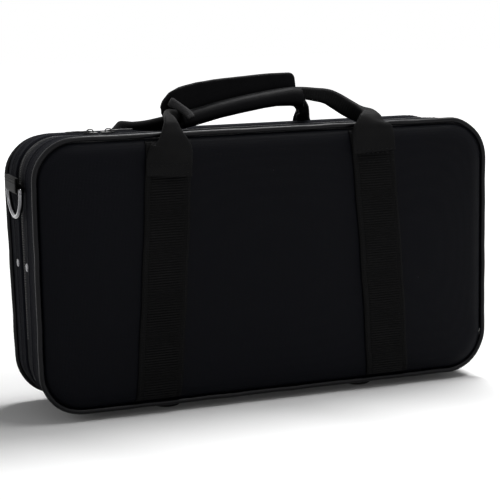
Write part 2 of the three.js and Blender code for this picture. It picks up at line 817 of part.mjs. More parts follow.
const frontBores = sides.map(([, side]) => rivetBore(side, frontDepth - rivetInset));
place("front_shell", cut(shellBody(frontFace, frontDepth), ...frontBores), coverCloth);
place("front_panel", padBody(frontFace, panelPad), panelCloth);
place("front_piping", pipingLoop(frontFace), pipingVinyl);
place("instrument_tray", instrumentTray(), plush);
place("zip_tape_front", frontTape(), zipCloth);
place("zip_teeth_front", frontTeeth(), zipCoil);
place("hinge_cloth", hingeCloth(), zipCloth);

const backBores = sides.map(([, side]) => rivetBore(side, lidRim + rivetInset));
placeOnLid("back_shell", cut(shellBody(backFace, lidRim), ...backBores), coverCloth);
placeOnLid("back_panel", padBody(backFace, panelPad), panelCloth);
placeOnLid("back_piping", pipingLoop(backFace), pipingVinyl);
const liningFace = (x, z, rise) => backFace(x, z, -floorThickness - rise);
placeOnLid("lid_lining", padBody(liningFace, liningPad), plush);
placeOnLid("zip_tape_back", lidTape(), zipCloth);
placeOnLid("zip_teeth_back", lidTeeth(), zipCoil);

const strapEnd = panelInset + rollWidth * rollShares[1];
const patchLow = handleTurnHeight - patchDrop;
const frontFootY = frontDepth / 2;
const backFootY = lidRim + lidDepthAt(0) / 2;
const footFloor = -footHeight - seatGap;
for (const [name, side] of sides) {
  const strap = (face) => laidWebbing(face, side, strapEnd, wallHeight - strapEnd, strapLayer);
  const patch = (face) => laidWebbing(face, side, patchLow, handleTurnHeight, patchLayer);
  place("front_strap_" + name, strap(frontFace), webbing);
  place("front_handle_patch_" + name, patch(frontFace), webbing);
  placeOnLid("back_strap_" + name, strap(backFace), webbing);
  placeOnLid("back_handle_patch_" + name, patch(backFace), webbing);

  const turn = side < 0 ? 2 * quarterTurn : 0;
  const rivetSpot = { x: side * halfLength, z: rivetHeight, turn };
  place("front_stay_rivet_" + name, rivet(), chrome, { ...rivetSpot, y: frontDepth - rivetInset });
  placeOnLid("back_stay_rivet_" + name, rivet(), chrome, { ...rivetSpot, y: lidRim + rivetInset });
  place("lid_stay_" + name, lidStay(side), webbing);

  place("front_foot_" + name, foot(footHeight), rubber, { x: side * footPlace, y: frontFootY, z: -seatGap });
  const lidBottom = -(backFootY + footRadius - hingeY) * Math.sin(wedgeTurn) - seatGap;
  const backFoot = foot(lidBottom - footFloor);
  place("back_foot_" + name, backFoot, rubber, { x: side * footPlace, y: backFootY, z: lidBottom });

  const ringSpot = { x: side * (halfLength + ringOut), y: tabSetback, z: tabHeight };
  place("ring_tab_" + name, ringTab(), webbing, { ...ringSpot, turn });
  place("strap_ring_" + name, strapRing(), chrome, ringSpot);

  const sliderX = leftSliderPlace + (side < 0 ? 0 : sliderSpacing);
  const sliderSpot = { x: sliderX, y: topBandMiddle, z: wallHeight, turn };
  place("zip_slider_" + name, zipSlider(), darkZinc, sliderSpot);
  place("zip_puller_" + name, zipPuller(), darkZinc, { ...sliderSpot, z: wallHeight + bailMiddle });
}

const backRoot = (side) => fromLid(rootOnFace(backFace, side));
const frontRoot = (side) => rootOnFace(frontFace, side);
place("front_handle", carryingLoop(frontRoot, gripSetback + loopSetback, frontLegShares), webbing);
place("back_handle", carryingLoop(backRoot, gripSetback + loopSetback + loopSpacing, backLegShares), webbing);
place("handle_grip", gripWrap(), gripLeather);

// The part's own frame: the middle of its outline in X and Y, and the soles of the feet in Z
const bounds = new THREE.Box3().setFromObject(clarinetCase, true);
const middle = bounds.getCenter(new THREE.Vector3());
clarinetCase.position.set(-middle.x, -middle.y, -bounds.min.z);

export default clarinetCase;
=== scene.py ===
import bmesh
import bpy
import numpy as np
from mathutils import Matrix, Vector


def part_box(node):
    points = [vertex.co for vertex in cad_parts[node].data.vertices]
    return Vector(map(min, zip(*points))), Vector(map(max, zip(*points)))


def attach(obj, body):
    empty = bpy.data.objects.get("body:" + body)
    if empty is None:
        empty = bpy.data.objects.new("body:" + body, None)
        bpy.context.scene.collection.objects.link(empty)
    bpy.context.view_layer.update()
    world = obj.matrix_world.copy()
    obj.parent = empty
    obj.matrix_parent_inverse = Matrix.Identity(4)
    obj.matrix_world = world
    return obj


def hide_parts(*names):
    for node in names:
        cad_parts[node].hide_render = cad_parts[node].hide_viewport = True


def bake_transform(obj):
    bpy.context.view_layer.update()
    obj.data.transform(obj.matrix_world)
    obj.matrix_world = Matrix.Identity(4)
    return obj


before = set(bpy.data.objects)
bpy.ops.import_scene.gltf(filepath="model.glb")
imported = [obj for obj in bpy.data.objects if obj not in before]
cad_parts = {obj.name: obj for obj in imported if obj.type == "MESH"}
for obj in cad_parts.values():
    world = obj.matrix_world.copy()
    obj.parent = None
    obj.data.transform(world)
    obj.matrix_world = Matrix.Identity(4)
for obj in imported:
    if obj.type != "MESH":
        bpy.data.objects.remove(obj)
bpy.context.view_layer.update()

# Camera: it stands to the left of the case's front and a little above it, far off, with a long lens.
view_yaw, view_pitch, view_roll = np.radians((20.90, 9.45, -1.08))
view_place = Vector((-0.4529, -1.1842, 0.3265))
view_way = Vector((np.sin(view_yaw) * np.cos(view_pitch), np.cos(view_yaw) * np.cos(view_pitch), -np.sin(view_pitch)))
level_right = Vector((np.cos(view_yaw), -np.sin(view_yaw), 0))
level_up = level_right.cross(view_way)
view_right = np.cos(view_roll) * level_right + np.sin(view_roll) * level_up
view_up = np.cos(view_roll) * level_up - np.sin(view_roll) * level_right
lens_data = bpy.data.cameras.new("studio_camera")
lens_data.sensor_width, lens_data.lens, lens_data.clip_end = 36, 112.3, 50
camera = bpy.data.objects.new("studio_camera", lens_data)
camera.matrix_world = Matrix(
    [[view_right[i], view_up[i], -view_way[i], view_place[i]] for i in range(3)] + [[0, 0, 0, 1]]
)
bpy.context.collection.objects.link(camera)
bpy.context.scene.camera = camera
bpy.context.scene.view_settings.view_transform = "Standard"


# Studio: a seamless white sweep under and behind the case, which shows white to the camera and keeps the shadow.
# The light is soft and mostly from above, with a weaker one in front.
def feed(tree, socket, value):
    """Links an input from another node's output, or sets it to a value."""
    if isinstance(value, bpy.types.NodeSocket):
        tree.links.new(value, socket)
    elif value is not None:
        socket.default_value = value


def add_node(tree, kind, *ins, **values):
    """A node whose settings and inputs go by name, and whose inputs can also be fed in their order."""
    node = tree.nodes.new(kind)
    for key, value in values.items():
        if hasattr(node, key):
            setattr(node, key, value)
        else:
            feed(tree, node.inputs[key.replace("_", " ")], value)
    for socket, value in zip(node.inputs, ins):
        feed(tree, socket, value)
    return node


def calc(tree, operation, *ins):
    return add_node(tree, "ShaderNodeMath", *ins, operation=operation).outputs[0]


def place_of(tree):
    return add_node(tree, "ShaderNodeTexCoord").outputs["Object"]


def seen_directly(tree):
    """One for what the camera sees, straight or off or through something shiny, and nought for falling light."""
    path = add_node(tree, "ShaderNodeLightPath").outputs
    shiny = calc(tree, "MAXIMUM", path["Is Glossy Ray"], path["Is Transmission Ray"])
    return calc(tree, "MAXIMUM", path["Is Camera Ray"], shiny)


def new_piece(name, mesh, paint=None):
    piece = bpy.data.objects.new(name, mesh)
    bpy.context.collection.objects.link(piece)
    if paint:
        mesh.materials.append(paint)
    return piece


def cleared_tree(block):
    block.use_nodes = True
    block.node_tree.nodes.clear()
    return block.node_tree


sweep_half, white = 6.0, (1, 1, 1, 1)
floor_paint = bpy.data.materials.new("pale_floor")
tree = cleared_tree(floor_paint)
away = add_node(tree, "ShaderNodeVectorMath", place_of(tree), operation="LENGTH").outputs["Value"]
fall_off = add_node(
    tree, "ShaderNodeMapRange", interpolation_type="SMOOTHSTEP",
    Value=away, From_Min=0.22, From_Max=1.6, To_Min=0.02, To_Max=0.95,
)
matte = add_node(tree, "ShaderNodeBsdfDiffuse", Color=(0.82, 0.82, 0.82, 1))
lift = calc(tree, "MULTIPLY", seen_directly(tree), fall_off.outputs[0])
glow = add_node(tree, "ShaderNodeEmission", Color=white, Strength=lift)
both = add_node(tree, "ShaderNodeAddShader", matte.outputs[0], glow.outputs[0])
add_node(tree, "ShaderNodeOutputMaterial", Surface=both.outputs[0])
sweep_mesh = bpy.data.meshes.new("studio_floor")
sweep_corners = [(x * sweep_half, y * sweep_half, 0) for x, y in ((-1, -1), (1, -1), (1, 1), (-1, 1))]
sweep_mesh.from_pydata(sweep_corners, [], [range(4)])
studio_floor = new_piece("studio_floor", sweep_mesh, floor_paint)

room = bpy.data.worlds.new("studio_room")
bpy.context.scene.world = room
tree = cleared_tree(room)
level = add_node(tree, "ShaderNodeMapRange", Value=seen_directly(tree), To_Min=0.16, To_Max=1.0)
air = add_node(tree, "ShaderNodeBackground", Color=white, Strength=level.outputs[0])
add_node(tree, "ShaderNodeOutputWorld", Surface=air.outputs[0])

# Lamps: each one's place, the height it faces, its two sides and its power
for name, place, target_z, width, height, power in (
    ("overhead_box", (0.45, 0.3, 1.55), 0.1, 0.8, 0.22, 28),
    ("edge_box", (0.62, -0.45, 1.5), 0.15, 0.9, 0.12, 9),
    ("front_box", (0.5, -2.2, 1.5), 0.1, 1.6, 1.2, 3.5),
    ("left_box", (-1.9, -0.2, 1.3), 0.1, 1.0, 1.2, 5),
):
    lamp = bpy.data.lights.new(name, "AREA")
    lamp.shape = "RECTANGLE"
    lamp.size, lamp.size_y, lamp.energy = width, height, power
    stand = bpy.data.objects.new(name, lamp)
    stand.location = place
    stand.rotation_euler = (Vector((0, 0, target_z)) - Vector(place)).to_track_quat("-Z", "Y").to_euler()
    bpy.context.collection.objects.link(stand)

# Shells: the front and the back half of the case, moulded foam boxes covered in black nylon cloth.
# A seam with a row of stitches runs round the side of each, and the cloth is turned in at the open rim.
mm = 0.001
wall_length, wall_height, corner_radius = 379.0, 209.0, 32.0
front_depth, lid_depth, lid_taper, lid_top_drop = 43.0, 31.0, 5.0, 3.0
seam_gap = 7.0
wedge = np.radians(3.2)
hinge_y = front_depth + seam_gap / 2
lid_rim = front_depth + seam_gap
half_length, half_height = wall_length / 2, wall_height / 2
front_y, wall_foot = -44.9282, 8.8
corner_steps, long_steps, short_steps = 12, 64, 30


def on_front(points):
    """From the front shell's own millimetres to the frame."""
    return (np.asarray(points, float) + (0, front_y, wall_foot)) * mm


def on_lid(points):
    """The same for the lid, which leans by the wedge about the hinge."""
    x, y, z = np.moveaxis(np.asarray(points, float) - (0, hinge_y, 0), -1, 0)
    turned = np.stack([x, y * np.cos(wedge) + z * np.sin(wedge), z * np.cos(wedge) - y * np.sin(wedge)], -1)
    return on_front(turned + (0, hinge_y, 0))


def case_outline(inset, corner_steps=corner_steps, long_steps=long_steps, short_steps=short_steps):
    """Places round the case's outline with the way out at each, drawn in by an inset, from the lower right corner up."""
    radius = max(corner_radius - inset, 3.2)
    reach_x, reach_z = half_length - inset - radius, half_height - inset - radius
    corners = ((1, -1), (1, 1), (-1, 1), (-1, -1))
    rows = []
    for k, (side_x, side_z) in enumerate(corners):
        for step in range(corner_steps + 1):
            angle = (k - 1 + step / corner_steps) * np.pi / 2
            out = (np.cos(angle), np.sin(angle))
            rows.append((side_x * reach_x + radius * out[0], side_z * reach_z + radius * out[1], *out))
        count = long_steps if k % 2 else short_steps
        here, there = np.array(rows[-1]), np.array(rows[-1])
        next_x, next_z = corners[(k + 1) % 4]
        there[:2] = (next_x * reach_x, here[1]) if k % 2 else (here[0], next_z * reach_z)
        rows += [tuple(here + (there - here) * n / count) for n in range(1, count)]
    table = np.array(rows)
    table[:, 1] += half_height
    return table


def front_face(x, z, rise):
    return np.stack(np.broadcast_arrays(x, -np.asarray(rise, float), z), -1)


def back_face(x, z, rise):
    depth = lid_depth - lid_taper * (1 - z / wall_height)
    return np.stack(np.broadcast_arrays(x, lid_rim + depth + rise, z * (1 - lid_top_drop / wall_height)), -1)


case_sides = (("front", front_face, on_front, "base"), ("back", back_face, on_lid, "lid"))


def spots_of(mesh):
    return np.array([v.co[:] for v in mesh.vertices])


def run_of(points):
    """How far along a line each of its points lies."""
    return np.r_[0, np.cumsum(np.linalg.norm(np.diff(points, axis=0), axis=1))]


def table_at(stops, run, table):
    return np.stack([np.interp(stops, run, column) for column in np.asarray(table).T], -1)


def circle(sides):
    return np.arange(sides) / sides * 2 * np.pi


def skin_rings(name, rings, paint, seat=None, closed=False, capped=True):
    """A surface through rings of points, with the places along and across it kept as a UV map in millimetres."""
    rings = np.asarray(rings, float)
    ring_count, around = rings.shape[:2]
    faces, uvs = [], []
    along = np.r_[0, np.cumsum(np.linalg.norm(np.diff(rings, axis=0, append=rings[:1]), axis=2).mean(1))]
    across = run_of(np.vstack([rings[0], rings[0][:1]]))
    for i in range(ring_count if closed else ring_count - 1):
        for j in range(around):
            k, m = (i + 1) % ring_count, (j + 1) % around
            faces.append((i * around + j, i * around + m, k * around + m, k * around + j))
            uvs += [(across[j + b], along[i + a]) for b, a in ((0, 0), (1, 0), (1, 1), (0, 1))]
    if capped and not closed:
        for start, end in ((0, 0), ((ring_count - 1) * around, -1)):
            faces.append(tuple(range(start, start + around)))
            uvs += [(across[j], along[end]) for j in range(around)]
    spots = rings.reshape(-1, 3)
    mesh = bpy.data.meshes.new(name)
    mesh.from_pydata([tuple(p) for p in (seat(spots) if seat else spots)], [], faces)
    mesh.uv_layers.new(name="cloth_run").data.foreach_set("uv", np.array(uvs).ravel())
    work = bmesh.new()
    work.from_mesh(mesh)
    bmesh.ops.recalc_face_normals(work, faces=work.faces)
    work.to_mesh(mesh)
    work.free()
    mesh.shade_smooth()
    return new_piece(name, mesh, paint)


def smooth_line(points, spacing):
    """An even run of points on a smooth curve through the given ones."""
    points = np.asarray(points, float)
    padded = np.vstack([2 * points[0] - points[1], points, 2 * points[-1] - points[-2]])
    fine = []
    for i in range(1, len(padded) - 2):
        a, b, c, d = padded[i - 1 : i + 3]
        for t in np.linspace(0, 1, 12, endpoint=False):
            square, cube = 2 * a - 5 * b + 4 * c - d, 3 * b - a - 3 * c + d
            fine.append(0.5 * (2 * b + (c - a) * t + square * t**2 + cube * t**3))
    fine = np.array(fine + [points[-1]])
    run = run_of(fine)
    return table_at(np.linspace(0, run[-1], max(int(round(run[-1] / spacing)), 2) + 1), run, fine)


def dress(piece, body, slot, *nodes):
    """Says which body carries a piece and which solids it stands for. The slot is not used."""
    if body:
        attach(piece, body)
    if nodes:
        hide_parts(*nodes)


def group_of(name, ins, outs):
    """A new shader group: its inputs are a vector called Place and numbers, and its outputs are numbers."""
    tree = bpy.data.node_groups.new(name, "ShaderNodeTree")
    tree.interface.new_socket("Place", in_out="INPUT", socket_type="NodeSocketVector")
    for label, value in ins:
        tree.interface.new_socket(label, in_out="INPUT", socket_type="NodeSocketFloat").default_value = value
    for label in outs:
        tree.interface.new_socket(label, in_out="OUTPUT", socket_type="NodeSocketFloat")
    return tree, add_node(tree, "NodeGroupInput").outputs, add_node(tree, "NodeGroupOutput").inputs


def noise(tree, place, scale, detail=2.0, distortion=0.0):
    node = add_node(tree, "ShaderNodeTexNoise", Vector=place, Scale=scale, Detail=detail, Distortion=distortion)
    return node.outputs["Fac"]


# Plain weave on the three faces of space, with threads that vary a little in thickness
weave, given, result = group_of("plain_weave", (("Threads", 2000.0), ("Slub", 0.3)), ("Height", "Shade"))
split = add_node(weave, "ShaderNodeSeparateXYZ", given["Place"]).outputs
turns = calc(weave, "MULTIPLY", given["Threads"], float(np.pi))
waves = [calc(weave, "SINE", calc(weave, "MULTIPLY", split[axis], turns)) for axis in range(3)]
crossings = [calc(weave, "MULTIPLY", waves[a], waves[b]) for a, b in ((0, 1), (1, 2), (2, 0))]
cross = calc(weave, "ADD", calc(weave, "ADD", crossings[0], crossings[1]), crossings[2])
uneven = calc(weave, "MULTIPLY", calc(weave, "SUBTRACT", noise(weave, given["Place"], 260), 0.5), given["Slub"])
feed(weave, result["Height"], calc(weave, "MULTIPLY_ADD", cross, 0.5, uneven))
feed(weave, result["Shade"], calc(weave, "ADD", uneven, 0.5))

# Handling marks: faint broad patches and a few pale specks of lint
marks, given, result = group_of("handling_marks", (("Patches", 9.0), ("Lint", 0.6)), ("Patch", "Speck"))
feed(marks, result["Patch"], noise(marks, given["Place"], given["Patches"], 5))
dots = add_node(marks, "ShaderNodeTexVoronoi", Vector=given["Place"], Scale=95).outputs
near = add_node(marks, "ShaderNodeMapRange", Value=dots["Distance"], From_Min=0.05, From_Max=0.02).outputs[0]
chosen = add_node(marks, "ShaderNodeSeparateColor", dots["Color"]).outputs[0]
rare = add_node(marks, "ShaderNodeMapRange", Value=chosen, From_Min=0.9, From_Max=1.0).outputs[0]
feed(marks, result["Speck"], calc(marks, "MULTIPLY", calc(marks, "MULTIPLY", near, rare), given["Lint"]))


def use_group(tree, group, **values):
    return add_node(tree, "ShaderNodeGroup", node_tree=group, **values).outputs


def paint_base(name, roughness, specular, sheen=0.0, sheen_roughness=0.5, metallic=0.0):
    paint = bpy.data.materials.new(name)
    paint.use_nodes = True
    shader = paint.node_tree.nodes["Principled BSDF"].inputs
    for key, value in (
        ("Roughness", roughness), ("Specular IOR Level", specular), ("Sheen Weight", sheen),
        ("Sheen Roughness", sheen_roughness), ("Metallic", metallic),
    ):
        shader[key].default_value = value
    return paint, paint.node_tree, shader


def mix_colour(tree, low, high, share):
    node = add_node(tree, "ShaderNodeMix", data_type="RGBA")
    for key, value in ((0, share), (6, low), (7, high)):
        feed(tree, node.inputs[key], (*value, 1) if isinstance(value, tuple) else value)
    return node.outputs[2]


def bump_from(tree, shader, height, distance):
    bump = add_node(tree, "ShaderNodeBump", Strength=1.0, Distance=distance, Height=height)
    feed(tree, shader["Normal"], bump.outputs[0])


def cloth_paint(name, dark, pale, depth, roughness, specular, patches=9.0, lint=0.5):
    """Nylon cloth in a fine plain weave, with handling marks and lint."""
    paint, tree, shader = paint_base(name, roughness, specular)
    place = place_of(tree)
    thread = use_group(tree, weave, Place=place, Threads=1900.0, Slub=0.5)
    handled = use_group(tree, marks, Place=place, Patches=patches, Lint=lint)
    body = mix_colour(tree, dark, pale, calc(tree, "MULTIPLY", thread["Shade"], handled["Patch"]))
    feed(tree, shader["Base Color"], mix_colour(tree, body, (0.12, 0.12, 0.13), handled["Speck"]))
    bump_from(tree, shader, thread["Height"], depth)
    return paint


cover_cloth = cloth_paint("nylon_cover", (0.003, 0.0033, 0.0048), (0.0105, 0.011, 0.015), 0.00016, 0.85, 0.04)
edge_round, wall_thickness, floor_thickness = 1.0, 7.0, 5.0
seam_dent, seam_swell, side_puff, rim_turn = 0.55, 0.5, 0.35, 0.8
rims_and_seams = ((front_depth, 24.0), (lid_rim, 16.0))


def shell_rings(face, rim, seam_depth):
    """Rings from the middle of the face round its edge, along the side with its seam, over the rim and back inside."""
    toward = 1 if rim > face(np.zeros(1), np.full(1, half_height), 0.0)[0, 1] else -1
    edge = [(inset, 0.0) for inset in (40, 12, 6)]
    edge += [(edge_round * (1 - np.sin(a)), edge_round * (np.cos(a) - 1)) for a in np.linspace(0, np.pi / 2, 6)]
    rings = []
    for inset, rise in edge:
        x, z, _, _ = case_outline(inset).T
        rings.append(face(x, z, rise))
    x, z, out_x, out_z = case_outline(0).T
    start = rings[-1][:, 1]
    reach = np.abs(rim - start)
    for share in np.linspace(0.08, 0.97, 30):
        away = np.abs(reach * share - seam_depth)
        dent = seam_dent * np.exp(-((away / 0.9) ** 2)) - seam_swell * np.exp(-(((away - 3.0) / 2.0) ** 2))
        out = side_puff * np.sin(np.pi * share) - dent - rim_turn * max(0.0, (share - 0.93) / 0.04) ** 2
        rings.append(np.stack([x + out_x * out, start + toward * reach * share, z + out_z * out], -1))
    for inset, drop in ((1.6, 0.0), (wall_thickness - 1.0, 0.0), (wall_thickness, 1.0)):
        x, z, _, _ = case_outline(inset).T
        rings.append(np.stack([x, np.full_like(x, rim - toward * drop), z], -1))
    return rings + [face(x, z, -floor_thickness)]


for (label, face, seat, body), (rim, seam) in zip(case_sides, rims_and_seams):
    cover = skin_rings(label + "_shell_cloth", shell_rings(face, rim, seam), cover_cloth, seat)
    dress(cover, body, "cover_cloth", label + "_shell")

# Face panels: foam pads under black nylon, drawn in tight along the piping, with the roll of the foam's edge inside it.
# The cloth is sewn down under the straps and swells a little between them.
panel_cloth = cloth_paint("nylon_panel", (0.0003, 0.0004, 0.0012), (0.0016, 0.002, 0.0042), 0.0001, 0.46, 0.052, 7.0, 0.7)
piping_radius, piping_overhang, seat_gap = 2.0, 0.8, 0.3
panel_inset = piping_radius - piping_overhang + seat_gap
strap_top, strap_bottom, webbing_width, webbing_thick = 85.0, 99.0, 37.0, 1.6
swell_pressure, swell_frames, swell_most, swell_evening, held_rings = 3.0, 18, 1.8, 30, 4


def strap_middle(z):
    return strap_bottom + (strap_top - strap_bottom) * z / wall_height


def pad_height(stop, x, z, pad):
    """How high a pad's skin lies over its face: the roll follows the edge, and the crown falls away to all four sides."""
    inset, roll, rise, crown = pad
    edge = np.sqrt(1 - (1 - np.minimum(stop / roll, 1)) ** 2)
    in_z = np.clip((np.minimum(z, wall_height - z) - inset) / (half_height - inset), 0, 1)
    in_x = np.clip((half_length - np.abs(x) - inset) / (half_height - inset), 0, 1)
    return seat_gap + rise * edge + crown * (1 - (1 - in_z) ** 2) * (1 - (1 - in_x) ** 3)


def pad_mesh(name, face, seat, paint, pad, stops, flange):
    """The skin of a pad: a thin sewn flange round its foot, then rings inwards over the roll and the crown.
    Its middle and its underside are closed by strips from each place of a ring to the one above it."""
    rings = []
    for inset, rise in ((pad[0] - flange, -0.1), (pad[0], seat_gap * 0.8)):
        x, z, _, _ = case_outline(inset).T
        rings.append(face(x, z, rise))
    for stop in stops:
        x, z, _, _ = case_outline(pad[0] + stop).T
        rings.append(face(x, z, pad_height(stop, x, z, pad)))
    piece = skin_rings(name, rings, paint, capped=False)
    around, mirror = len(x), 2 * corner_steps + short_steps
    work = bmesh.new()
    work.from_mesh(piece.data)
    work.verts.ensure_lookup_table()
    for first in (0, (len(rings) - 1) * around):
        for here in range(mirror // 2, mirror // 2 + around // 2):
            corners = (here, here + 1, (mirror - here - 1) % around, (mirror - here) % around)
            work.faces.new([work.verts[first + i] for i in dict.fromkeys(corners)])
    bmesh.ops.recalc_face_normals(work, faces=work.faces)
    if work.calc_volume(signed=True) < 0:
        bmesh.ops.reverse_faces(work, faces=work.faces)
    work.to_mesh(piece.data)
    work.free()
    piece.data.shade_smooth()
    spots = spots_of(piece.data)
    piece.data.vertices.foreach_set("co", seat(spots).ravel())
    return piece, spots, np.arange(len(spots)) // around


def mesh_made(piece):
    return bpy.data.meshes.new_from_object(piece.evaluated_get(bpy.context.evaluated_depsgraph_get()))


def swell(piece, around, held):
    """Blows the cloth up from inside with the sewn points kept, caps how far a point may move out, and evens that out.
    Then the skin is rounded once."""
    before = spots_of(piece.data)
    sewn = piece.vertex_groups.new(name="sewn")
    sewn.add([int(i) for i in held], 1.0, "REPLACE")
    cloth = piece.modifiers.new("swell", "CLOTH")
    for key, value in (
        ("quality", 5), ("mass", 0.25), ("tension_stiffness", 22), ("compression_stiffness", 22),
        ("shear_stiffness", 8), ("bending_stiffness", 1.2), ("use_pressure", True),
        ("uniform_pressure_force", swell_pressure), ("vertex_group_mass", "sewn"),
    ):
        setattr(cloth.settings, key, value)
    cloth.settings.effector_weights.gravity = 0
    cloth.collision_settings.use_collision = cloth.collision_settings.use_self_collision = False
    for frame_number in range(1, swell_frames + 1):
        bpy.context.scene.frame_set(frame_number)
    after = spots_of(piece.evaluated_get(bpy.context.evaluated_depsgraph_get()).data)
    piece.modifiers.remove(cloth)
    piece.vertex_groups.remove(sewn)
    bpy.context.scene.frame_set(1)
    normals = np.array([v.normal[:] for v in piece.data.vertices])
    push = np.clip(((after - before) * normals).sum(1), 0, None)
    push = (push / (1 + push / (swell_most * mm))).reshape(-1, around)
    for _ in range(swell_evening):
        push[1:-1] = (push[:-2] + push[2:] + np.roll(push[1:-1], 1, 1) + np.roll(push[1:-1], -1, 1)) / 4
        push[-1] = (2 * push[-2] + np.roll(push[-1], 1) + np.roll(push[-1], -1)) / 4
        push.ravel()[held] = 0
    piece.data.vertices.foreach_set("co", (before + normals * push.reshape(-1, 1)).ravel())
    rounder = piece.modifiers.new("smooth", "SUBSURF")
    rounder.levels = rounder.render_levels = 1
    made = mesh_made(piece)
    piece.modifiers.remove(rounder)
    piece.data = made


panel_pad, panel_flange = (panel_inset, 12.0, 6.0, 3.2), 2.7
panel_stops = [0, 0.15, 0.5, 1.1, 2, 3.2, 4.8, 6.8, 9.2, 12, 15.5, 19.5, 24, 29, 35, 41, 48, 55, 62, 69, 76, 83, 90]
panel_stops += [96, 100.5]
outline_count = len(case_outline(0))
for label, face, seat, body in case_sides:
    name = label + "_panel_cloth"
    panel, flat_spots, ring = pad_mesh(name, face, seat, panel_cloth, panel_pad, panel_stops, panel_flange)
    side_gap = np.abs(np.abs(flat_spots[:, 0]) - strap_middle(flat_spots[:, 2])) - webbing_width / 2
    swell(panel, outline_count, np.nonzero((ring <= held_rings) | (side_gap < -1.5))[0])
    dress(panel, body, "panel_cloth", label + "_panel")

# Piping: a smooth vinyl-covered cord sewn in round each face in one closed run.
# It stands out a little past the side wall and wanders by a tenth of a millimetre.
piping_vinyl, tree, shader = paint_base("piping_vinyl", 0.3, 0.12)
place = place_of(tree)
handled = use_group(tree, marks, Place=place, Patches=60.0, Lint=0.3)
feed(tree, shader["Base Color"], mix_colour(tree, (0.001, 0.001, 0.0016), (0.004, 0.004, 0.0052), handled["Patch"]))
feed(tree, shader["Roughness"], calc(tree, "MULTIPLY_ADD", handled["Patch"], 0.12, 0.26))
bump_from(tree, shader, noise(tree, place, 900), 0.00008)

for label, face, seat, body in case_sides:
    x, z, out_x, out_z = case_outline(-piping_overhang).T
    run = np.linspace(0, 2 * np.pi, len(x), endpoint=False)
    wander = 0.12 * np.sin(23 * run) + 0.08 * np.sin(41 * run + 1)
    centre = face(x + out_x * wander, z + out_z * wander, piping_radius - 0.1)
    turn, radius = circle(16), piping_radius + 0.1
    rings = [
        p + radius * (np.outer(np.cos(turn), (u, 0, w)) + np.outer(np.sin(turn), (0, 1, 0)))
        for p, u, w in zip(centre, out_x, out_z)
    ]
    piping = skin_rings(label + "_piping_cord", rings, piping_vinyl, seat, closed=True)
    dress(piping, body, "piping", label + "_piping")


# Straps: ribbed webbing sewn flat up each face, from the bottom piping to under the carry loop's end.
# Each has a plain band along both edges, where a row of stitches holds it.
def webbing_paint(name, roughness, specular, dark, pale, patches, bump, pattern):
    """Woven band: from the run across and along it and the handling patch, a pattern makes its shade and its height."""
    paint, tree, shader = paint_base(name, roughness, specular)
    run_map = add_node(tree, "ShaderNodeUVMap", uv_map="cloth_run").outputs[0]
    across, along, _ = add_node(tree, "ShaderNodeSeparateXYZ", run_map).outputs
    handled = use_group(tree, marks, Place=place_of(tree), Patches=patches, Lint=0.8)
    shade, height = pattern(tree, across, along, handled["Patch"])
    body = mix_colour(tree, dark, pale, shade)
    feed(tree, shader["Base Color"], mix_colour(tree, body, (0.1, 0.1, 0.1), handled["Speck"]))
    bump_from(tree, shader, height, bump)
    return paint


def ribbed_pattern(tree, across, along, patch):
    warp = calc(tree, "SINE", calc(tree, "MULTIPLY", across, 7.0))
    # The weft wave has the ribs' pitch and is palest on their crests: a painted highlight where the tops of the ribs
    # catch the light.
    weft_crest_highlight = calc(tree, "SINE", calc(tree, "MULTIPLY_ADD", along, 2 * np.pi / rib_pitch, -np.pi / 2))
    thread = calc(tree, "MULTIPLY_ADD", warp, 0.4, weft_crest_highlight)
    return calc(tree, "MULTIPLY_ADD", thread, 0.3, calc(tree, "MULTIPLY", patch, 0.5)), warp


rib_pitch, rib_height, selvedge, strap_end, strap_run = 2.1, 0.6, 4.6, 3.0, 221.5
webbing_cloth = webbing_paint(
    "strap_webbing", 0.46, 0.045, (0.0004, 0.0004, 0.0005), (0.0085, 0.0085, 0.0088), 30.0, 0.0001, ribbed_pattern
)


def strap_rise(z, layer):
    stop = np.minimum(z, wall_height - z) - panel_inset
    return pad_height(stop, strap_middle(z), z, panel_pad) + seat_gap + layer * (webbing_thick + seat_gap)


def strap_rings(face, side, low, high):
    """Rings up a strap: its ribbed middle, the groove beside each plain edge, and both ends tucked down."""
    half = webbing_width / 2
    plain = half - selvedge
    top_u = np.r_[-half, -half + 0.25, -half + 0.9, -half + 2.2, -plain - 0.5, -plain, -plain + 0.5]
    top_u = np.r_[top_u, np.linspace(-plain + 1.5, plain - 1.5, 8), -top_u[::-1]]
    rounding = np.sqrt(1 - (1 - np.clip((half - np.abs(top_u)) / 0.9, 0, 1)) ** 2)
    ribbed = np.clip((plain - np.abs(top_u)) / 0.5, 0, 1)
    groove = np.exp(-(((np.abs(top_u) - plain) / 0.45) ** 2))
    rings = []
    for z in np.arange(low, high + 0.01, rib_pitch / 6):
        middle = side * strap_middle(z) + 0.25 * np.sin(z * 0.11 + side)
        base = float(strap_rise(z, 0))
        rib = -rib_height * 0.5 * np.cos(2 * np.pi * (z - low) / rib_pitch)
        tuck = np.clip(min(z - low, high - z) / 1.2, 0.35, 1)
        rise = base + (webbing_thick * tuck) * (0.35 + 0.65 * rounding) + ribbed * rib - 0.25 * groove
        under = top_u[::-1][::6]
        rings.append(np.vstack([
            face(middle + top_u, np.full_like(top_u, z), rise), face(middle + under, np.full_like(under, z), base - 0.9)
        ]))
    return rings


for label, face, seat, body in case_sides:
    for side_name, side in (("left", -1), ("right", 1)):
        node = label + "_strap_" + side_name
        rings = strap_rings(face, side, strap_end, wall_height - strap_end)
        strap = skin_rings(node + "_webbing", rings, webbing_cloth, seat)
        dress(strap, body, "webbing", node)
        flat = (webbing_width * mm, strap_run * mm)


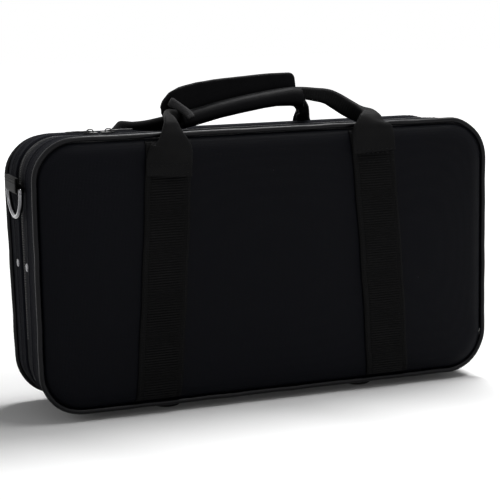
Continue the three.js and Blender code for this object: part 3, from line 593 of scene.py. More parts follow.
# Carry loops: one length of smoother webbing on each face, sewn over the straps at both ends.
# Above the shell its edges are folded back to back, and so folded it runs through the grip and down the other side.
def plain_pattern(tree, across, along, patch):
    waves = [calc(tree, "SINE", calc(tree, "MULTIPLY", run, pitch)) for run, pitch in ((across, 3.6), (along, 2.9))]
    thread = calc(tree, "MULTIPLY", *waves)
    return calc(tree, "MULTIPLY_ADD", thread, 0.2, calc(tree, "MULTIPLY", patch, 0.7)), thread


loop_cloth = webbing_paint(
    "loop_webbing", 0.55, 0.05, (0.001, 0.001, 0.0011), (0.012, 0.012, 0.0124), 45.0, 0.00006, plain_pattern
)
bend_reach, loop_spacing = 3.0, 1.1


def folded_band(name, rows, paint, seat):
    """Webbing along a line of places, bent back along two lines: each row is its middle's place, the way its edges bend,
    the bend in quarter turns, half its width, and how far out on that half the bend lies. A quarter turn at the middle
    folds it back to back."""
    table = smooth_line(rows, loop_spacing)
    crest = table[:, :3]
    along = np.gradient(crest, axis=0)
    along /= np.linalg.norm(along, axis=1, keepdims=True)
    down = table[:, 3:6] - (table[:, 3:6] * along).sum(1, keepdims=True) * along
    down /= np.linalg.norm(down, axis=1, keepdims=True)
    side = np.cross(along, down)
    rings = []
    turns, halves, bends = np.clip(table[:, 6], 0, 1.9), table[:, 7], np.clip(table[:, 8], 0, 1)
    for p, d, s, turn, half, bend in zip(crest, down, side, turns, halves, bends):
        start = np.clip(bend * half - bend_reach / 2, 0.3, half - bend_reach - 0.3)
        end = start + bend_reach
        steps = np.r_[np.linspace(0, start, 4)[:-1], np.linspace(start, end, 6), np.linspace(end, half, 5)[1:]]
        fine = np.linspace(0, half, 129)
        angle = turn * (np.pi / 2) * np.clip((fine - start) / bend_reach, 0, 1)
        out, fall = (np.r_[0, np.cumsum(wave(angle[:-1]) * half / 128)] for wave in (np.cos, np.sin))
        out_at, fall_at, angle_at = (np.interp(steps, fine, v) for v in (out, fall, angle))
        thin = np.sqrt(1 - np.clip((steps - half + 0.8) / 0.8, 0, 0.97) ** 2) * webbing_thick / 2
        upper = np.stack([out_at + thin * np.sin(angle_at), fall_at - thin * np.cos(angle_at)], 1)
        lower = np.stack([out_at - thin * np.sin(angle_at), fall_at + thin * np.cos(angle_at)], 1)
        upper[1:, 0], lower[1:, 0] = np.maximum(upper[1:, 0], 0.2), np.maximum(lower[1:, 0], 0.12)
        mirror = np.array([-1, 1])
        section = np.vstack([upper[:0:-1] * mirror, upper, lower[:0:-1], lower[:1], lower[1:] * mirror])
        rings.append(p + np.outer(section[:, 0], s) + np.outer(section[:, 1], d))
    return skin_rings(name, rings, paint, seat)


def on_strap(x, z):
    """A place on the front, in the middle of a loop's end where it lies sewn over its strap."""
    return x, -float(strap_rise(z, 1)) - webbing_thick / 2, z


# Each row: the middle's place, the way the edges bend, the bend, half the width, and where on it the bend lies
full, narrow = webbing_width / 2, 11.0
along_grip = (0, 0, -1, 1)
front_rows = [
    (*on_strap(-86.9, 178.5), 0, 1, 0, 0, full, 1),
    (*on_strap(-86.2, 189), 0, 1, 0, 0.1, full, 1),
    (-84.8, on_strap(0, 195)[1] - 1, 195, 0, 1, 0, 0.6, full, 0.97),
    (-83.2, -10.9, 200, 0, 1, 0, 1.75, full, 0.86),
    (-82.8, -11, 205, 0, 1, 0, 1.85, full, 0.69),
    (-82.9, -10.3, 210, 0, 1, 0, 1.85, 18, 0.53),
    (-82.9, -8.8, 214.8, 0, 1, 0, 1.8, 15.5, 0.46),
    (-82.6, -6.6, 219.6, 0, 0.9, -0.4, 1.7, 12.5, 0.42),
    (-82.2, -1.2, 223.2, 0.03, 0.6, -0.75, 1.4, 11.5, 0.33),
    (-81.2, 6.5, 224.8, 0.1, 0.3, -0.95, 1.15, 11, 0.2),
    (-78.8, 15.5, 225.9, 0.1, 0.1, -1, 1, 11, 0),
    (-74, 25, 226.4, *along_grip, 11, 0),
    (-65.5, 32.2, 225.2, *along_grip, 11, 0),
    (-54, 34.3, 224.6, *along_grip, narrow, 0),
    (-46, 34.5, 226, *along_grip, narrow, 0),
    (-30.8, 34.5, 229.6, *along_grip, narrow, 0),
    (-12, 34.5, 233.3, *along_grip, narrow, 0),
    (7.9, 34.5, 236.3, *along_grip, narrow, 0),
    (24, 34.5, 238.4, *along_grip, narrow, 0),
    (36, 34.5, 239, *along_grip, narrow, 0),
    (46, 34.3, 238.6, *along_grip, narrow, 0),
    (55, 33.6, 237.6, *along_grip, 11.8, 0),
    (62, 32.2, 236.9, *along_grip, 12.8, 0),
    (68, 30.3, 235.4, *along_grip, 13.8, 0),
    (74, 27, 232.2, -0.05, 0.05, -1, 1, 14.4, 0),
    (80.2, 21.5, 227.4, -0.1, 0.2, -0.97, 1, 14.8, 0.05),
    (85.4, 13.5, 222.8, -0.1, 0.45, -0.9, 1.1, 15, 0.14),
    (88, 4.5, 220.4, 0, 0.75, -0.65, 1.3, 16, 0.3),
    (87.6, -3.5, 218.2, 0, 0.95, -0.3, 1.7, 17, 0.47),
    (86.2, -8.6, 213.6, 0, 1, 0.1, 1.85, 18, 0.68),
    (85.8, -10.6, 208.4, 0, 1, 0, 1.75, full, 0.92),
    (85.9, -10.2, 203.5, 0, 1, 0, 0.6, full, 1),
    (*on_strap(86.2, 198), 0, 1, 0, 0, full, 1),
    (*on_strap(86.8, 188), 0, 1, 0, 0, full, 1),
]
back_rows = [
    (-86.9, 99.9, 177, 0, -1, 0, 0, full, 1),
    (-86, 100, 187, 0, -1, 0, 0, full, 1),
    (-86.8, 99.9, 196, 0, -1, 0, 0.05, full, 0.5),
    (-89, 98.9, 204, 0, -1, -0.1, 0.1, full, 0.3),
    (-92, 95.5, 210.3, 0, -0.8, -0.6, 0.25, full, 0.15),
    (-95, 88, 213.6, 0, -0.2, -1, 0.5, 18, 0),
    (-95.2, 79, 214.2, 0, 0.5, -0.85, 0.75, 17, 0),
    (-90.5, 70, 213.6, 0, 0.75, -0.65, 0.92, 16, 0),
    (-82, 61, 214.8, 0, 0.75, -0.65, 1, 15, 0),
    (-71, 52.5, 218, 0, 0.6, -0.75, 1, 13, 0),
    (-60, 45, 221.6, 0, 0.3, -0.9, 1, 12, 0),
    (-48, 41.6, 225.6, *along_grip, narrow, 0),
    (-20, 41.5, 231, *along_grip, narrow, 0),
    (20, 41.5, 235.4, *along_grip, narrow, 0),
    (36, 41.6, 234.8, *along_grip, narrow, 0),
    (46, 43.2, 230.5, -0.3, 0.1, -0.95, 1, narrow, 0),
    (52.8, 48, 224.4, -0.7, 0.15, -0.6, 1, 11, 0),
    (57.4, 55.5, 219.6, -0.95, 0.3, -0.2, 1, 11.5, 0),
    (62.2, 66, 215.8, -0.97, 0.3, 0, 0.97, 12, 0),
    (67.4, 78, 212.4, -0.95, 0.2, -0.1, 0.92, 13, 0),
    (72, 89, 208.6, -0.8, -0.1, -0.5, 0.8, 15, 0),
    (78, 99.6, 201.6, -0.4, -0.9, -0.2, 0.5, 14.5, 0),
    (82.4, 100.4, 195.6, 0, -0.98, -0.1, 0.2, 17, 0.3),
    (85.2, 100, 190, 0, -1, 0, 0, full, 1),
    (86.9, 99.9, 177, 0, -1, 0, 0, full, 1),
]
for label, rows, low_body, body, hinge_z in (
    ("front", front_rows, "base", "front_handle_body", 199.5),
    ("back", back_rows, "lid", "back_handle_body", 194.2),
):
    loop = folded_band(label + "_loop_webbing", rows, loop_cloth, on_front)
    dress(loop, None, "webbing", label + "_handle", label + "_handle_patch_left", label + "_handle_patch_right")
    flat = (webbing_width * mm, float(run_of(smooth_line([row[:3] for row in rows], 1.0))[-1]) * mm)
    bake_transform(loop)

# Grip: a padded leather-cloth wrap on the front loop. A thick roll holds the loop from below and in front.
# Behind it the wrap's other edge stands up as a flap, with a pale fuzzy patch at the left end of the valley between.
grip_leather, tree, shader = paint_base("grip_leather_cloth", 0.42, 0.035)
place = place_of(tree)
handled = use_group(tree, marks, Place=place, Patches=55.0, Lint=0.6)
pores = add_node(tree, "ShaderNodeTexVoronoi", Vector=place, Scale=900).outputs["Distance"]
creases = noise(tree, place, 130, 6)
body_shade = mix_colour(tree, (0.0004, 0.0004, 0.0006), (0.0022, 0.0022, 0.0028), handled["Patch"])
feed(tree, shader["Base Color"], mix_colour(tree, body_shade, (0.06, 0.06, 0.06), handled["Speck"]))
feed(tree, shader["Roughness"], calc(tree, "MULTIPLY_ADD", creases, 0.12, 0.42))
bump_from(tree, shader, calc(tree, "MULTIPLY_ADD", creases, 1.6, pores), 0.00006)

# Each row is a station along the case: its place, the flap's top and foot, and the roll's top and foot.
grip_rows = np.array([
    (-77.3, 228.2, 222.6, 224.4, 211.0),
    (-75.1, 231.9, 218.6, 224.4, 211.0),
    (-68.9, 238.1, 214.6, 224.4, 211.0),
    (-61.3, 241.7, 214.0, 224.4, 211.0),
    (-54, 243.4, 215.6, 224.6, 212.3),
    (-46, 245.0, 219.0, 226.6, 214.2),
    (-30.8, 246.9, 223.0, 230.2, 217.8),
    (-12, 248.2, 226.0, 233.9, 221.1),
    (7.9, 249.5, 229.0, 236.9, 224.2),
    (18.3, 250.0, 230.0, 238.3, 225.2),
    (32.5, 250.0, 231.0, 239.9, 224.9),
    (41.5, 249.4, 231.5, 239.0, 223.2),
])
flap_left, flap_right, roll_left, roll_right = -77.3, 39.0, -63.5, 41.5
flap_middle, flap_bead, flap_corner, end_rounding, grip_spacing = 37.7, 2.1, 5.0, 2.2, 1.2
roll_front, roll_back, lip_back, lip_thick = 23.2, 32.4, 38.4, 2.2
roll_outside = [
    (0, 1), (0.16, 1.02), (0.4, 0.99), (0.68, 0.88), (0.88, 0.7),
    (0.98, 0.5), (1, 0.34), (0.93, 0.16), (0.76, 0.04), (0.5, 0),
]


def end_stations(left, right):
    """Stations along the grip, close together at both ends, each with the share of full thickness that its end leaves."""
    near = end_rounding * (1 - np.cos(np.linspace(0, np.pi / 2, 6)))
    middle = np.linspace(left + end_rounding, right - end_rounding, int((right - left) / grip_spacing))[1:-1]
    places = np.r_[left + near, middle, (right - near)[::-1]]
    short = np.clip(np.minimum(places - left, right - places) / end_rounding, 0, 1)
    return zip(places, np.sqrt(1 - (1 - short) ** 2) * 0.92 + 0.08)


def flap_ring(x, full_share):
    """A section of the flap: a thin wall with a bead along its top, rippled, and rounded off at its right end."""
    top, foot, _, _ = table_at(x, grip_rows[:, 0], grip_rows[:, 1:])
    corner = max(0.0, x - flap_right + flap_corner)
    top, foot = top + 1.4 - (flap_corner - np.sqrt(max(0.0, flap_corner**2 - corner**2))) * 0.9, foot + 1.4
    share = np.linspace(0, 1, 12)
    height = np.linspace(foot, top - flap_bead, 12)
    lean = 1.6 * share**4 - 2.4 * np.clip((-66 - x) / 11, 0, 1) ** 2
    middle = flap_middle + lean + (0.35 * np.sin(x * 0.21) + 0.25 * np.sin(x * 0.53 + 1)) * share**3
    thick = (0.85 + 1.3 * share**7) * full_share
    turn, low = np.linspace(0, np.pi, 7)[1:-1], np.array([0.7, 0, -0.7])
    section = np.vstack([
        np.stack([middle - thick, height], 1),
        np.stack([middle[-1] - thick[-1] * np.cos(turn), height[-1] + flap_bead * np.sin(turn) * full_share], 1),
        np.stack([middle + thick, height], 1)[::-1],
        np.stack([middle[0] + thick[0] * low, foot - 0.8 * np.array([0.7, 1, 0.7])], 1),
    ])
    return np.insert(section, 0, x, 1)


def roll_ring(x, full_share):
    """A section of the roll: its round outside, the lip that reaches back under the loop, and its inside."""
    _, _, top, foot = table_at(x, grip_rows[:, 0], grip_rows[:, 1:])
    high, deep = top - foot, roll_back - roll_front
    outer = smooth_line([(roll_back - u * deep, foot + v * high) for u, v in roll_outside], 0.3)
    run = run_of(outer)
    lip = [(33.5, -0.4), (36.4, -0.3), (lip_back, 0.6), (37.6, 1.7), (35.4, lip_thick - 0.4)]
    inner = [(33.6, 2.2), (32.5, 4.2), (32.3, 0.75 * high)]
    ring = np.vstack([table_at(np.linspace(0, run[-1], 30), run, outer), np.array(lip + inner) + (0, foot)])
    middle = ring.mean(0)
    return np.insert(middle + (ring - middle) * full_share, 0, x, 1)


for name, ring_at, left, right in (
    ("flap", flap_ring, flap_left, flap_right),
    ("roll", roll_ring, roll_left, roll_right),
):
    piece = skin_rings("grip_" + name, [ring_at(x, s) for x, s in end_stations(left, right)], grip_leather, on_front)
    dress(piece, "front_handle_body", "grip", "handle_grip")


def grained_paint(name, base, dark, pale, scale, detail=2.0, bump=0.0, shine=None):
    """A material with one grain in it, which shades it and can make it rough and uneven too."""
    paint, tree, shader = paint_base(name, **base)
    grain = noise(tree, place_of(tree), scale, detail)
    feed(tree, shader["Base Color"], mix_colour(tree, dark, pale, grain))
    if shine:
        feed(tree, shader["Roughness"], calc(tree, "MULTIPLY_ADD", grain, *shine))
    if bump:
        bump_from(tree, shader, grain, bump)
    return paint


patch_fuzz = grained_paint(
    "grip_fuzzy_patch", dict(roughness=0.8, specular=0.1, sheen=0.12),
    (0.006, 0.006, 0.0064), (0.045, 0.045, 0.047), 1400, 4, 0.0006,
)
patch_half, patch_thick = 4.0, 1.7
patch_line = [(-70.2, 34.8, 232.4), (-66.6, 33.2, 230.2), (-62.4, 29.6, 227), (-58.6, 25.4, 223.4), (-56.4, 22.2, 219.6)]
spots = smooth_line(patch_line, 0.8)
last = len(spots) - 1
turn = circle(16)
flat = np.sign(np.cos(turn)) * np.abs(np.cos(turn)) ** 0.5
rings = []
for i, spot in enumerate(spots):
    along = spots[min(i + 1, last)] - spots[max(i - 1, 0)]
    across = np.cross((0, -1.0, 0), along / np.linalg.norm(along))
    end = np.sqrt(1 - (1 - np.clip(min(i, last - i) / 2.5, 0.05, 1)) ** 2)
    wide, thick = flat * patch_half * (0.8 + 0.2 * end), np.sin(turn) * patch_thick * end
    rings.append(spot + np.outer(wide, across) + np.outer(thick, (0, -1, 0)))
dress(skin_rings("grip_closing_patch", rings, patch_fuzz, on_front), "front_handle_body", "grip")

# Copies: stitches and zip teeth are one small form set on many marked points, made up here as plain meshes.
copies = bpy.data.node_groups.new("copies_on_points", "GeometryNodeTree")
copies.interface.new_socket("Geometry", in_out="INPUT", socket_type="NodeSocketGeometry")
form_socket = copies.interface.new_socket("Form", in_out="INPUT", socket_type="NodeSocketObject")
paint_socket = copies.interface.new_socket("Paint", in_out="INPUT", socket_type="NodeSocketMaterial")
copies.interface.new_socket("Geometry", in_out="OUTPUT", socket_type="NodeSocketGeometry")
given, result = add_node(copies, "NodeGroupInput").outputs, add_node(copies, "NodeGroupOutput").inputs
points = add_node(copies, "GeometryNodeMeshToPoints", Mesh=given["Geometry"]).outputs[0]
form = add_node(copies, "GeometryNodeObjectInfo", Object=given["Form"]).outputs["Geometry"]
mark = add_node(copies, "GeometryNodeInputNamedAttribute", data_type="FLOAT_VECTOR", Name="turn").outputs["Attribute"]
turn = add_node(copies, "FunctionNodeEulerToRotation", mark).outputs[0]
spread = add_node(copies, "GeometryNodeInstanceOnPoints", Points=points, Instance=form, Rotation=turn).outputs[0]
whole = add_node(copies, "GeometryNodeRealizeInstances", spread).outputs[0]
painted = add_node(copies, "GeometryNodeSetMaterial", Geometry=whole, Material=given["Paint"]).outputs[0]
feed(copies, result[0], painted)


def copies_of(form_name, name, rings, spots, ways, ups, paint, seat):
    """Sets a small form, drawn along its own X with its top to Z, at each spot, along its way and with its top to up."""
    form = skin_rings(form_name, rings, paint)
    spots = np.asarray(spots, float)
    placed = seat(spots)
    turns = []
    ahead, above = (seat(spots + np.asarray(way, float)) - placed for way in (ways, ups))
    for x_way, z_way in zip(ahead, above):
        x_way = Vector(x_way).normalized()
        y_way = Vector(z_way).cross(x_way).normalized()
        turns.append(Matrix((x_way, y_way, x_way.cross(y_way))).transposed().to_euler()[:])
    mesh = bpy.data.meshes.new(name)
    mesh.from_pydata([tuple(p) for p in placed], [], [])
    mesh.attributes.new("turn", "FLOAT_VECTOR", "POINT").data.foreach_set("vector", np.array(turns, np.float32).ravel())
    piece = new_piece(name, mesh)
    maker = piece.modifiers.new("copies", "NODES")
    maker.node_group = copies
    maker[form_socket.identifier] = form
    maker[paint_socket.identifier] = paint
    made = mesh_made(piece)
    piece.modifiers.remove(maker)
    piece.data = made
    bpy.data.objects.remove(form)
    return piece


def bead(length, radius):
    """A stitch: a short thread that dips at both ends."""
    stops, turn = np.linspace(-1, 1, 7), circle(6)
    thick = np.sqrt(np.clip(1 - stops**4, 0.06, 1)) * radius
    return [
        np.stack([np.full(6, s * length / 2), np.cos(turn) * r, np.sin(turn) * r + radius * (0.5 - 0.9 * s**4)], 1) * mm
        for s, r in zip(stops, thick)
    ]


thread = grained_paint(
    "bonded_thread", dict(roughness=0.5, specular=0.06), (0.001, 0.001, 0.0012), (0.006, 0.006, 0.0065), 1800, bump=0.0001
)

# Stitching: rows along both edges of each strap, rows across each end of the carry loops, and one row beside each
# shell's seam. The thread is dark and lies a little into the cloth at both ends of each stitch.
stitch_length, stitch_pitch, stitch_radius, edge_margin, cross_pitch = 2.9, 3.9, 0.32, 2.0, 4.2
slope = (strap_top - strap_bottom) / wall_height
for label, face, seat, body in case_sides:
    marks_of_row = []
    normal = np.subtract(*(face(np.zeros(1), np.full(1, half_height), rise)[0] for rise in (1.0, 0.0)))
    for side in (-1, 1):
        for z in np.arange(strap_end + 3, 176, stitch_pitch):
            rise = float(strap_rise(z, 0)) + webbing_thick * 0.96
            for edge in (-1, 1):
                x = side * strap_middle(z) + edge * (webbing_width / 2 - edge_margin) + 0.25 * np.sin(z * 0.11 + side)
                marks_of_row.append((face(np.array([x]), np.array([z]), rise)[0], (side * slope, 0, 1), normal))
        for z in (180.6, 187.4, 190.4) if label == "front" else (179.2, 186):
            rise = float(strap_rise(z, 1)) + webbing_thick * 0.96
            for step in np.arange(-3.5, 3.6):
                x = side * strap_middle(z) + step * cross_pitch + 0.5 * side
                way = (1, 0, 0.05 * np.sin(step * 2.1))
                marks_of_row.append((face(np.array([x]), np.array([z]), rise)[0], way, normal))
    row = copies_of(
        "stitch_form", label + "_webbing_stitches", bead(stitch_length, stitch_radius), *zip(*marks_of_row), thread, seat
    )
    dress(row, body, "webbing")

seam_row_gap, seam_pitch = 3.4, 3.6
for (label, face, seat, body), (_, seam), toward in zip(case_sides, rims_and_seams, (1, -1)):
    x, z, out_x, out_z = case_outline(0, 20, 90, 44).T
    y = face(x, z, 0.0)[:, 1] + toward * (seam + seam_row_gap)
    line = np.stack([x + out_x * seam_dent, y, z + out_z * seam_dent, out_x, 0 * x, out_z], 1)
    line = np.vstack([line, line[:1]])
    run = run_of(line[:, :3])
    stops = np.arange(0, run[-1] - 1, seam_pitch)
    here = table_at(stops, run, line)
    ahead = table_at(stops + 0.5, run, line)[:, :3] - here[:, :3]
    row = copies_of("stitch_form", label + "_seam_stitches", bead(2.6, 0.28), here[:, :3], ahead, here[:, 3:], thread, seat)
    dress(row, body, "cover_cloth")

# Zip: two woven tapes that close the gap between the shells over the top and half way down the sides.
# A nylon coil is sewn along each tape's edge, and the coils mesh when the case is shut.
zip_end, tape_sink, tape_thick, tooth_width, teeth_gap, tape_hem = 50.0, 1.5, 1.0, 1.6, 1.2, 4.6
half_wedge = wedge / 2


def rim_line(upper, spacing):
    """Places along the shells' outline with the way out at each: over the top from end to end of the zip, or below."""
    turn = np.linspace(0, np.pi / 2, 25)
    sign, corner_z, ends = (1, wall_height - corner_radius, zip_end) if upper else (-1, corner_radius, zip_end - 0.3)
    out = np.stack([np.cos(turn), sign * np.sin(turn)], 1)
    right = np.hstack([(half_length - corner_radius, corner_z) + corner_radius * out, out])
    left = (right * (-1, 1, -1, 1))[::-1]
    line = np.vstack([[(half_length, ends, 1, 0)], right, left, [(-half_length, ends, -1, 0)]])
    run = run_of(line[:, :2])
    line = table_at(np.linspace(0, run[-1], int(run[-1] / spacing) + 1), run, line)
    line[:, 2:] /= np.linalg.norm(line[:, 2:], axis=1, keepdims=True)
    return line


def teeth_edge(z, lid):
    """The edge of one half's tape, which reaches to half the teeth's gap from the plane half way between the rims."""
    reach = z * np.tan(half_wedge) - teeth_gap / 2
    return hinge_y - reach if lid else hinge_y + reach


def flat_ring(along_y, sink, thick, x, z, out_x, out_z):
    """A section of a flat band from its outer side to its inner one, sunk below the outline."""
    return np.vstack([
        np.stack([x - out_x * depth, along_y, z - out_z * depth], 1)[::order]
        for depth, order in ((sink, 1), (sink + thick, -1))
    ])


def twill_pattern(tree, across, along, patch):
    slant = calc(tree, "MULTIPLY_ADD", across, 8.0, calc(tree, "MULTIPLY", along, 8.0))
    twill = calc(tree, "SINE", slant)
    return calc(tree, "MULTIPLY_ADD", twill, 0.4, 0.5), twill


tape_cloth = webbing_paint(
    "zip_tape_cloth", 0.7, 0.08, (0.003, 0.003, 0.0036), (0.01, 0.01, 0.0115), 40.0, 0.00012, twill_pattern
)
coil_nylon = grained_paint(
    "zip_coil_nylon", dict(roughness=0.32, specular=0.4), (0.006, 0.006, 0.007), (0.02, 0.02, 0.022), 600, shine=(0.3, 0.2)
)

tooth_pitch, tooth_reach, tooth_wire, tooth_loop = 1.34, 0.5, 0.33, 0.95
spin, tooth_rings = circle(5), []
for a in np.linspace(-np.pi * 0.86, np.pi * 0.86, 9):
    radial = np.array([0, np.cos(a), np.sin(a)])
    section = np.outer(np.cos(spin), radial) + np.outer(np.sin(spin), (1, 0, 0))
    tooth_rings.append((radial * tooth_loop + (0.12 * a, 0, 0) + tooth_wire * section) * mm)
for label, _, seat, body in case_sides:
    lid = label == "back"
    line = rim_line(True, 3.0)
    rings, sag = [], 0.25 * np.sin(np.linspace(0, np.pi, 7))
    for x, z, out_x, out_z in line:
        edge = teeth_edge(z, lid)
        bare = tooth_width * 0.6
        near, far = (edge + bare, lid_rim + tape_hem) if lid else (front_depth - tape_hem, edge - bare)
        rings.append(flat_ring(np.linspace(near, far, 7), tape_sink + sag, tape_thick, x, z, out_x, out_z))
    tape = skin_rings("zip_tape_" + label + "_cloth", rings, tape_cloth, seat)
    dress(tape, body, "zip_tape", "zip_tape_" + label)
    flat = (float(np.mean([abs(r[6, 1] - r[0, 1]) for r in rings])) * mm, float(run_of(line[:, :2])[-1]) * mm)
    x, z, out_x, out_z = rim_line(True, tooth_pitch).T
    start, toward = (0.5 * tooth_pitch, -1) if lid else (0.0, 1)
    x, z = x - out_z * start, z + out_x * start
    edge = teeth_edge(z, lid) + toward * (tooth_reach - tooth_loop)
    spots = np.stack([x - out_x * 2.0, edge, z - out_z * 2.0], 1)
    ups = np.stack([out_x, 0 * out_x, out_z], 1) * toward
    ways = np.stack([-out_z, 0 * out_z, out_x], 1)
    teeth = copies_of("tooth_form", "zip_teeth_" + label + "_coil", tooth_rings, spots, ways, ups, coil_nylon, seat)
    dress(teeth, body, "zip_coil", "zip_teeth_" + label)

# Zip sliders: two cast plates joined by a divider, with turned-down sides and a bail on top that holds the puller.
# The puller is a stamped tongue with an eye for the bail, a raised rib and a dimple near its round end.
dark_zinc = grained_paint(
    "dark_plated_zinc", dict(roughness=0.3, specular=0.5, metallic=1.0),
    (0.006, 0.006, 0.0065), (0.035, 0.035, 0.036), 420, 5, 0.00005, (0.35, 0.15),
)
teeth_out, teeth_in, running_gap = -0.8, -3.2, 0.4
slider_length, slider_width, slider_plate, divider_length = 11.0, 10.0, 1.0, 5.0
bail_half, bail_high, bail_wire = 2.55, 2.2, 0.9
puller_length, puller_width, puller_thick, puller_bar = 20.0, 6.0, 1.0, 1.0
left_slider_place, slider_spacing = -131.0, 15.0
top_band_middle = hinge_y + wall_height * np.tan(half_wedge)


def round_outline(points, radius, steps=5):
    """Rounds each corner of an outline with a short curve."""
    points = [np.array(p, float) for p in points]
    out = []
    for before, here, after in zip(points[-1:] + points[:-1], points, points[1:] + points[:1]):
        a, b = before - here, after - here
        reach = min(radius, np.linalg.norm(a) * 0.45, np.linalg.norm(b) * 0.45)
        start, end = here + a / np.linalg.norm(a) * reach, here + b / np.linalg.norm(b) * reach
        out += [tuple((1 - t) ** 2 * start + 2 * t * (1 - t) * here + t**2 * end) for t in np.linspace(0, 1, steps)]
    return out


def box_outline(left, right, half):
    return [(left, -half), (right, -half), (right, half), (left, half)]


def plate_part(outline, low, high, bevel, holes=()):
    """A flat plate with softened edges, as a mesh in the making: an outline with holes, from one height to another."""
    work = bmesh.new()
    edges = []
    for loop in (outline, *holes):
        corners = [work.verts.new((x, y, low)) for x, y in loop]
        edges += [work.edges.new((a, b)) for a, b in zip(corners, corners[1:] + corners[:1])]
    faces = bmesh.ops.triangle_fill(work, use_beauty=True, edges=edges)["geom"]
    raised = bmesh.ops.extrude_face_region(work, geom=[f for f in faces if isinstance(f, bmesh.types.BMFace)])["geom"]
    bmesh.ops.translate(work, verts=[v for v in raised if isinstance(v, bmesh.types.BMVert)], vec=(0, 0, high - low))
    rims = [e for e in work.edges if e.is_valid and len(e.link_faces) == 2 and e.calc_face_angle(0) > 1.0]
    bmesh.ops.bevel(work, geom=rims, offset=bevel, segments=3, affect="EDGES", profile=0.6)
    return work


def tube_part(points, radius, sides=12, closed=False, flat=1.0):
    """A round bar along points that lie in one plane, as a mesh in the making."""
    points = np.asarray(points, float)
    ahead = np.roll(points, -1, 0) - np.roll(points, 1, 0)
    if not closed:
        ahead[0], ahead[-1] = points[1] - points[0], points[-1] - points[-2]
    ahead /= np.linalg.norm(ahead, axis=1, keepdims=True)
    normal = np.cross(points[1] - points[0], points[len(points) // 2] - points[0])
    normal /= np.linalg.norm(normal)
    work = bmesh.new()
    loops = []
    for p, way in zip(points, ahead):
        out = np.cross(way, normal)
        ring = [radius * (np.cos(a) * out + flat * np.sin(a) * normal) for a in circle(sides)]
        loops.append([work.verts.new(p + spot) for spot in ring])
    for a, b in zip(loops, loops[1:] + (loops[:1] if closed else [])):
        for k in range(sides):
            work.faces.new((a[k], a[(k + 1) % sides], b[(k + 1) % sides], b[k]))
    if not closed:
        for end in (loops[0], loops[-1]):
            work.faces.new(end)
    return work


def from_parts(name, parts, paint, seat):
    """Joins plates, tubes and turned forms made one by one into a single mesh, and seats it in the case."""
    whole = bmesh.new()
    for part in parts:
        step = bpy.data.meshes.new("part")
        part.to_mesh(step)
        part.free()
        whole.from_mesh(step)
        bpy.data.meshes.remove(step)
    bmesh.ops.recalc_face_normals(whole, faces=whole.faces)
    mesh = bpy.data.meshes.new(name)
    whole.to_mesh(mesh)
    whole.free()
    mesh.vertices.foreach_set("co", seat(spots_of(mesh)).ravel())
    mesh.shade_smooth()
    mesh.set_sharp_from_angle(angle=np.radians(50))
    return new_piece(name, mesh, paint)


half_slider, shoulder = slider_width / 2, slider_length * 0.15
plan = round_outline([
    (-slider_length / 2, -half_slider), (shoulder, -half_slider), (slider_length / 2, -half_slider * 0.35),
    (slider_length / 2, half_slider * 0.35), (shoulder, half_slider), (-slider_length / 2, half_slider),
], 1.6)
plate_foot, lower_top = teeth_out + running_gap, teeth_in - running_gap
bail_foot = plate_foot + slider_plate * 0.6
bail_line = [(-bail_half, 0, bail_foot), (-bail_half, 0, bail_foot + 1.2)]
bail_line += [(np.cos(a) * bail_half, 0, bail_foot + 1.4 + np.sin(a) * 1.45) for a in np.linspace(np.pi, 0, 11)]
bail_line += [(bail_half, 0, bail_foot + 1.2), (bail_half, 0, bail_foot)]
divider = round_outline(box_outline(-1, divider_length - 1, 0.25), 0.2)
half, eye_end, slot_half = puller_width / 2, puller_length * 0.28, bail_wire + running_gap
waist, neck, tip = half * 0.7, puller_length - puller_width, puller_length - half
tongue = [(-puller_bar / 2, -half), (eye_end, -half), (eye_end + half, -waist), (neck, -waist)]
tongue += [(tip + half * np.sin(a), -half * np.cos(a)) for a in np.linspace(0, np.pi, 13)]
tongue += [(neck, waist), (eye_end + half, waist), (eye_end, half), (-puller_bar / 2, half)]
eye = round_outline(box_outline(puller_bar / 2, eye_end, slot_half), 0.5)
dip = [(puller_length - 2.6 + np.cos(a), np.sin(a)) for a in circle(12)]
rib = round_outline(box_outline(eye_end + 2.6, puller_length - 5, 1.1), 0.9)
bail_middle = plate_foot + slider_plate + (bail_high - slider_plate / 2) / 2
for name, turn, middle_x in (("left", -1, left_slider_place), ("right", 1, left_slider_place + slider_spacing)):

    def seat_slider(spots, lift=0.0):
        return on_front(spots * (turn, turn, 1) + (middle_x, top_band_middle, wall_height + lift))

    parts = [
        plate_part(plan, plate_foot, plate_foot + slider_plate, 0.28),
        plate_part(plan, lower_top - slider_plate, lower_top, 0.28),
        plate_part(divider, lower_top - 0.3, plate_foot + 0.3, 0.08),
        tube_part(bail_line, 0.45, 10, flat=1.7),
    ]
    for edge in (-1, 1):
        near, far, end = edge * (half_slider - 0.5), edge * (half_slider - 0.05), 0.6 - slider_length / 2
        flange = [(end, near), (shoulder, near), (shoulder, far), (end, far)]
        parts.append(plate_part(flange, plate_foot - 0.9, plate_foot + 0.3, 0.12))
    slider = from_parts("zip_slider_" + name + "_casting", parts, dark_zinc, seat_slider)
    dress(slider, "zip_slider_" + name + "_body", "dark_metal", "zip_slider_" + name)
    parts = [
        plate_part(round_outline(tongue, 0.5, 3), -puller_thick / 2, puller_thick / 2, 0.22, holes=(eye, dip)),
        plate_part(rib, 0.3, 0.72, 0.15),
    ]
    puller = from_parts("zip_puller_" + name + "_tongue", parts, dark_zinc, lambda spots: seat_slider(spots, bail_middle))
    dress(puller, "zip_puller_" + name + "_body", "dark_metal", "zip_puller_" + name)
